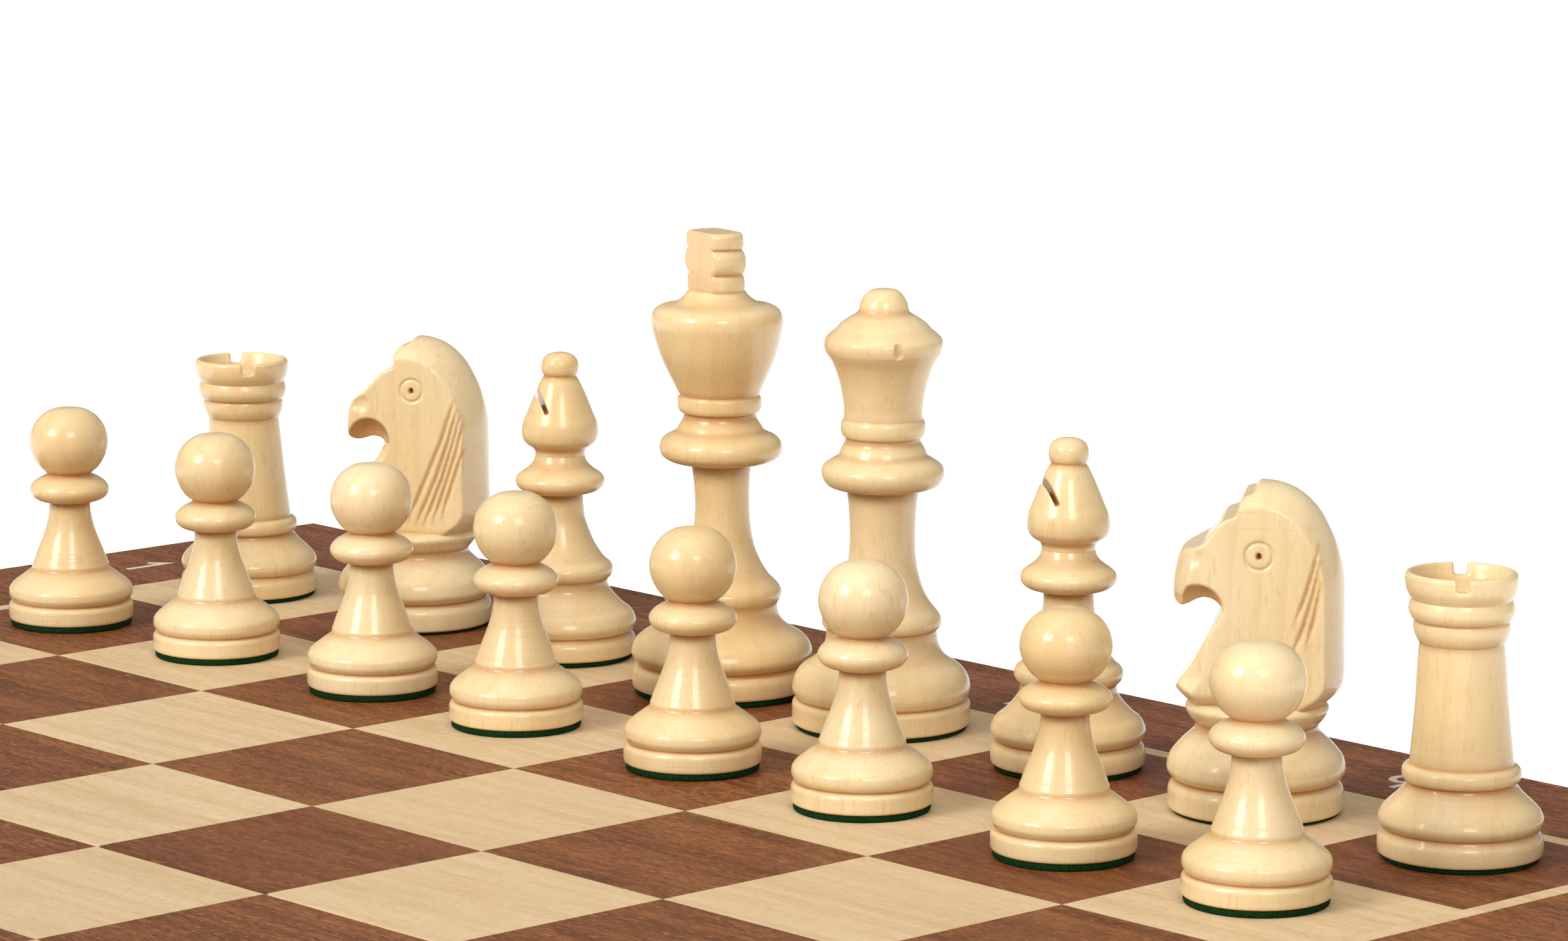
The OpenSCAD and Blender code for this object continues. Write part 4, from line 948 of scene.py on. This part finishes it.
for s, half, colour in ((-1, "white_half", "white"), (1, "black_half", "black")):
    dark, light, string, border = Slabs(11 + s), Slabs(23 + s), Slabs(37 + s), Slabs(51 + s)
    g, bv, sv = 0.015, 0.05, 0.40 if s < 0 else 0.22

    def span(a, b):
        return (a, b) if a < b else (b, a)

    for f in range(8):
        for r in range(4):
            rank = 3 - r if s < 0 else 4 + r
            ya = s * (Y0 if r == 0 else r * SQ + g)
            yb = s * ((r + 1) * SQ + (ROW_ADD if r == 3 else 0) - g)
            y0, y1 = span(ya, yb)
            by0 = sv if (r == 0 and s > 0) else bv
            by1 = sv if (r == 0 and s < 0) else bv
            where = dark if (f + rank) % 2 == 0 else light
            tone = where.r.uniform(0.0, 0.34) if where is dark else where.r.uniform(0.0, 0.30)
            where.add((f - 4) * SQ + g, (f - 3) * SQ - g, y0, y1, (bv, bv, by0, by1), tone)
    y0, y1 = span(s * (FIELD + ROW_ADD + g), s * (STRING + ROW_ADD - g))
    string.add(-STRING + g, STRING - g, y0, y1, (bv,) * 4, 0.1)
    for k in (-1, 1):
        x0, x1 = span(k * (FIELD + g), k * (STRING - g))
        y0, y1 = span(s * Y0, s * (FIELD + ROW_ADD - g))
        string.add(x0, x1, y0, y1, (bv, bv, sv if s > 0 else bv, sv if s < 0 else bv), 0.1)
    y0, y1 = span(s * (STRING + ROW_ADD + g), s * HALF)
    border.add(-HALF, HALF, y0, y1, (0.45, 0.45, 0.45 if s < 0 else bv, 0.45 if s > 0 else bv), 0.12)
    for k in (-1, 1):
        x0, x1 = span(k * (STRING + g), k * HALF)
        y0, y1 = span(s * Y0, s * (STRING + ROW_ADD - g))
        border.add(x0, x1, y0, y1, (0.45 if k < 0 else bv, 0.45 if k > 0 else bv, sv if s > 0 else bv, sv if s < 0 else bv), 0.06)
    for name, sl, mat, slot in (("dark_squares", dark, DARK_VEN, "dark_veneer"), ("light_squares", light, LIGHT_VEN, "light_veneer"),
                                ("stringing", string, LIGHT_VEN, "light_veneer"), ("border", border, DARK_VEN, "dark_veneer")):
        make(f"{name}_{colour}_veneer", sl.v, sl.f, half, [mat], {"wood": sl.w, "tone": sl.t}, False, (f"{name}_{colour}",))


# ------------------------------------------------------------------ coordinates: plain strokes, in mm


def arc(cx, cy, rx, ry, a0, a1, n=22):
    return [(cx + rx * math.cos(math.radians(a)), cy + ry * math.sin(math.radians(a))) for a in np.linspace(a0, a1, n)]


GLYPH = {
    "1": [[(0.8, 6.5), (3.3, 9.1), (3.3, 0.0)]],
    "2": [arc(2.75, 6.7, 2.25, 2.25, 168, -38) + [(0.6, 0.5), (5.2, 0.5)]],
    "3": [arc(2.6, 6.85, 2.0, 2.05, 150, -88), arc(2.6, 2.6, 2.35, 2.2, 88, -150)],
    "4": [[(4.1, 0.0), (4.1, 9.2), (0.5, 2.6), (5.5, 2.6)]],
    "5": [[(4.8, 8.9), (1.3, 8.9), (0.9, 5.1)] + arc(2.7, 2.95, 2.35, 2.5, 128, -145)],
    "6": [[(4.2, 9.1), (1.1, 4.4)] + arc(2.8, 2.75, 2.3, 2.35, 150, -205)],
    "7": [[(0.5, 8.9), (5.0, 8.9), (2.0, 0.0)]],
    "8": [arc(2.8, 6.95, 1.85, 1.95, -90, 270, 30), arc(2.8, 2.6, 2.25, 2.25, 90, 450, 34)],
    "a": [arc(2.6, 2.9, 2.1, 2.5, 0, 360, 34), [(4.85, 5.7), (4.85, 0.0)]],
    "b": [[(0.7, 9.3), (0.7, 0.0)], arc(2.95, 2.9, 2.1, 2.5, 0, 360, 34)],
    "c": [arc(2.95, 2.9, 2.25, 2.5, 48, 312, 30)],
    "d": [[(4.9, 9.3), (4.9, 0.0)], arc(2.65, 2.9, 2.1, 2.5, 0, 360, 34)],
    "e": [[(0.7, 3.0), (5.1, 3.0)] + arc(2.85, 2.95, 2.25, 2.5, 2, 305, 30)],
    "f": [arc(3.3, 7.6, 1.5, 1.5, 40, 180, 12) + [(1.8, 0.0)], [(0.5, 5.6), (3.9, 5.6)]],
    "g": [arc(2.6, 2.9, 2.1, 2.5, 0, 360, 34), [(4.85, 5.7), (4.85, -0.6)] + arc(2.85, -0.6, 2.0, 1.9, 0, -150, 16)],
    "h": [[(0.7, 9.3), (0.7, 0.0)], [(0.7, 3.2)] + arc(2.8, 3.4, 2.1, 2.1, 165, 0, 16) + [(4.9, 0.0)]],
}


def ribbon(pts, w):
    """Left and right edges of a stroke of width w along pts."""
    p = np.array(pts, float)
    closed_p = np.linalg.norm(p[0] - p[-1]) < 1e-6
    if closed_p:
        p = p[:-1]
    n = len(p)
    left, right = [], []
    for i in range(n):
        a = p[i - 1] if (i > 0 or closed_p) else p[i]
        b = p[(i + 1) % n] if (i < n - 1 or closed_p) else p[i]
        d1 = (p[i] - a) if np.any(p[i] != a) else (b - p[i])
        d2 = (b - p[i]) if np.any(b != p[i]) else d1
        d1, d2 = d1 / np.linalg.norm(d1), d2 / np.linalg.norm(d2)
        m = d1 + d2
        m /= np.linalg.norm(m)
        nn = np.array([-m[1], m[0]])
        k = w / 2 / max(0.35, nn @ np.array([-d1[1], d1[0]]))
        left.append(p[i] + nn * k)
        right.append(p[i] - nn * k)
    return left, right, closed_p


class Strokes:
    def __init__(self):
        self.v, self.f, self.n = [], [], 0

    def glyph(self, c, x, y, turn):
        ca, sa = math.cos(math.radians(turn)), math.sin(math.radians(turn))
        for pts in GLYPH[c]:
            left, right, cl = ribbon(pts, 1.25)
            zt = TOP + 0.006 + 0.002 * (self.n % 3)
            self.n += 1
            base = len(self.v)
            for q in left + right:
                u, w = q[0] - 2.8, q[1] - 4.65
                X, Y = x + u * ca - w * sa, y + u * sa + w * ca
                self.v += [(X, Y, zt), (X, Y, TOP - 0.27)]
            m = len(left)
            L = lambda i: base + 2 * (i % m)
            R = lambda i: base + 2 * (m + i % m)
            for i in range(m if cl else m - 1):
                self.f += [(R(i), R(i + 1), L(i + 1), L(i)), (L(i) + 1, L(i + 1) + 1, R(i + 1) + 1, R(i) + 1),
                           (L(i), L(i + 1), L(i + 1) + 1, L(i) + 1), (R(i + 1), R(i), R(i) + 1, R(i + 1) + 1)]
            if not cl:
                self.f += [(R(0), L(0), L(0) + 1, R(0) + 1), (L(m - 1), R(m - 1), R(m - 1) + 1, L(m - 1) + 1)]


for s, half, colour in ((-1, "white_half", "white"), (1, "black_half", "black")):
    st = Strokes()
    m = 177.6
    for f in range(8):
        st.glyph("abcdefgh"[f], (f - 3.5) * SQ - s * 1.9, s * (m - 0.9), 0 if s < 0 else 180)
    for r in range(4):
        rank = 3 - r if s < 0 else 4 + r
        st.glyph("12345678"[rank], -m, s * (r + 0.5) * SQ + 1.6, 0)
        st.glyph("12345678"[rank], m, s * (r + 0.5) * SQ - 1.6, 180)
    make(f"coordinates_{colour}_inlay", st.v, st.f, half, [INLAY], None, False, (f"coordinates_{colour}",))

# ------------------------------------------------------------------ case and hardware: bevelled from the CAD shapes


def refine(node, name, body, mat, width, segs=2, angle=28, wood=None):
    """A copy of a CAD node with its edges softened, standing for it."""
    src = NODE[node]
    me = src.data.copy()
    me.name = name
    me.materials.clear()
    me.materials.append(mat)
    for a in [a.name for a in me.attributes if a.name in ("custom_normal",)]:
        me.attributes.remove(me.attributes[a])
    o = bpy.data.objects.new(name, me)
    bpy.context.scene.collection.objects.link(o)
    import bmesh
    bm = bmesh.new()
    bm.from_mesh(me)
    bmesh.ops.remove_doubles(bm, verts=bm.verts, dist=1e-6)
    bmesh.ops.dissolve_limit(bm, angle_limit=math.radians(1.0), verts=bm.verts, edges=bm.edges)
    sharp = [e for e in bm.edges if len(e.link_faces) == 2 and e.calc_face_angle(0) > math.radians(angle)]
    bmesh.ops.bevel(bm, geom=sharp, offset=width * MM, offset_type="OFFSET", segments=segs, profile=0.5, affect="EDGES", clamp_overlap=True)
    bmesh.ops.triangulate(bm, faces=[f for f in bm.faces if len(f.verts) > 4])
    bm.to_mesh(me)
    bm.free()
    n = len(me.vertices)
    co = np.zeros(n * 3, np.float32)
    me.vertices.foreach_get("co", co)
    co = co.reshape(-1, 3) / MM
    if wood is not None:
        at = me.attributes.new("wood", "FLOAT_VECTOR", "POINT")
        at.data.foreach_set("vector", wood(co).astype(np.float32).ravel())
        at = me.attributes.new("tone", "FLOAT", "POINT")
        at.data.foreach_set("value", np.full(n, 0.1, np.float32))
    me.polygons.foreach_set("use_smooth", np.full(len(me.polygons), True))
    me.set_sharp_from_angle(angle=math.radians(38))
    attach(o, body)
    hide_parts(node)
    return o


def rail_wood(co):
    """Grain along each rail: the two long rails lie along X, the side rails along Y."""
    x, y, z = co.T
    side = np.abs(np.abs(x) - HALF) < np.minimum(np.abs(np.abs(y) - HALF), np.abs(np.abs(y) - Y0))
    a = np.where(side, y, x)
    b = np.where(side, x, y)
    return np.c_[a / 10 + 40 * side, z / 10 + b / 40 + 17 * (y > 0), b / 10 + 9 * (x > 0)]


for s, half, colour in ((-1, "white_half", "white"), (1, "black_half", "black")):
    refine(f"rails_{colour}", f"rails_{colour}_wood", half, FRAME_WOOD, 0.45, 3, 28, rail_wood)
    refine(f"hinge_leaves_{colour}", f"hinge_leaves_{colour}_brass", half, BRASS, 0.10, 2)
    refine(f"hinge_screws_{colour}", f"hinge_screws_{colour}_brass", half, BRASS, 0.06, 1)
    NODE[f"panel_{colour}"].data.materials.clear()
    NODE[f"panel_{colour}"].data.materials.append(PLY)
    NODE[f"lining_{colour}"].data.materials.clear()
    NODE[f"lining_{colour}"].data.materials.append(LINING)
refine("hinge_pins", "hinge_pins_brass", "white_half", BRASS, 0.12, 2)
refine("hook_left", "hook_left_brass", "hook_left", BRASS, 0.16, 2)
refine("hook_right", "hook_right_brass", "hook_right", BRASS, 0.16, 2)
refine("hook_screws", "hook_screws_brass", "black_half", BRASS, 0.10, 2)
refine("catch_studs", "catch_studs_brass", "white_half", BRASS, 0.10, 2)

# ------------------------------------------------------------------ floor, light, camera

# A plain white sheet, low enough that the half that folds down and the men on it stay above it.
FZ = -215 * MM
o_ = 9.0
fv = [(-o_, -o_, FZ), (o_, -o_, FZ), (o_, o_, FZ), (-o_, o_, FZ)]
ff = [(0, 1, 2, 3)]
fm = bpy.data.meshes.new("floor")
fm.from_pydata(fv, [], ff)
s = Shader("floor_paper")
s.put(s.bsdf.inputs["Emission Color"], (1, 1, 1))
s.put(s.bsdf.inputs["Emission Strength"], 0.98)
fm.materials.append(s.set(color=(0.90, 0.90, 0.90), rough=0.9, spec=0.1))
floor = bpy.data.objects.new("floor", fm)
bpy.context.scene.collection.objects.link(floor)

world = bpy.data.worlds.new("studio")
bpy.context.scene.world = world
world.use_nodes = True
wt = world.node_tree
bg = wt.nodes["Background"]
tc = wt.nodes.new("ShaderNodeTexCoord")
sep = wt.nodes.new("ShaderNodeSeparateXYZ")
wt.links.new(tc.outputs["Generated"], sep.inputs[0])
ramp = wt.nodes.new("ShaderNodeMapRange")
ramp.interpolation_type = "SMOOTHSTEP"
wt.links.new(sep.outputs[2], ramp.inputs["Value"])
ramp.inputs["From Min"].default_value = 0.0
ramp.inputs["From Max"].default_value = 0.75
ramp.inputs["To Min"].default_value = 0.20
ramp.inputs["To Max"].default_value = 0.46
bg.inputs[0].default_value = (1.0, 0.99, 0.97, 1)
wt.links.new(ramp.outputs[0], bg.inputs[1])


def softbox(name, direction, dist, size, power, target=(0.0, -0.12, 0.05)):
    L = bpy.data.lights.new(name, "AREA")
    L.shape = "RECTANGLE"
    L.size, L.size_y = size
    L.energy = power
    ob = bpy.data.objects.new(name, L)
    bpy.context.scene.collection.objects.link(ob)
    d = Vector(direction).normalized()
    ob.location = Vector(target) + d * dist
    ob.rotation_mode = "QUATERNION"
    ob.rotation_quaternion = d.to_track_quat("Z", "Y")
    return ob


def toward(az, el):
    """A direction az degrees to the left of the camera and el degrees up."""
    a, e = math.radians(az), math.radians(el)
    bx, by = -0.7340, 0.6791
    lx, ly = 0.6791, 0.7340
    return (math.cos(e) * (math.cos(a) * bx + math.sin(a) * lx), math.cos(e) * (math.cos(a) * by + math.sin(a) * ly), math.sin(e))


softbox("key", toward(54, 32), 2.2, (0.80, 0.80), 34)
softbox("fill", toward(-11, 32), 2.4, (0.70, 0.70), 20)
softbox("top", toward(40, 72), 2.2, (1.6, 1.6), 15)

cam_d = bpy.data.cameras.new("camera")
cam = bpy.data.objects.new("camera", cam_d)
bpy.context.scene.collection.objects.link(cam)
cam_d.lens = 138.67
cam_d.sensor_width = 36.0
cam_d.sensor_fit = "HORIZONTAL"
cam_d.clip_start, cam_d.clip_end = 0.05, 60
cam.location = (-0.70430, 0.51466, 0.20218 + TOP * MM)
cam.rotation_mode = "QUATERNION"
cam.rotation_quaternion = (-0.3072568, -0.2573822, 0.5922738, 0.6989702)
bpy.context.scene.camera = cam

bpy.context.scene.view_settings.view_transform = "Standard"
bpy.context.scene.view_settings.look = "None"
bpy.context.scene.view_settings.exposure = 0.0
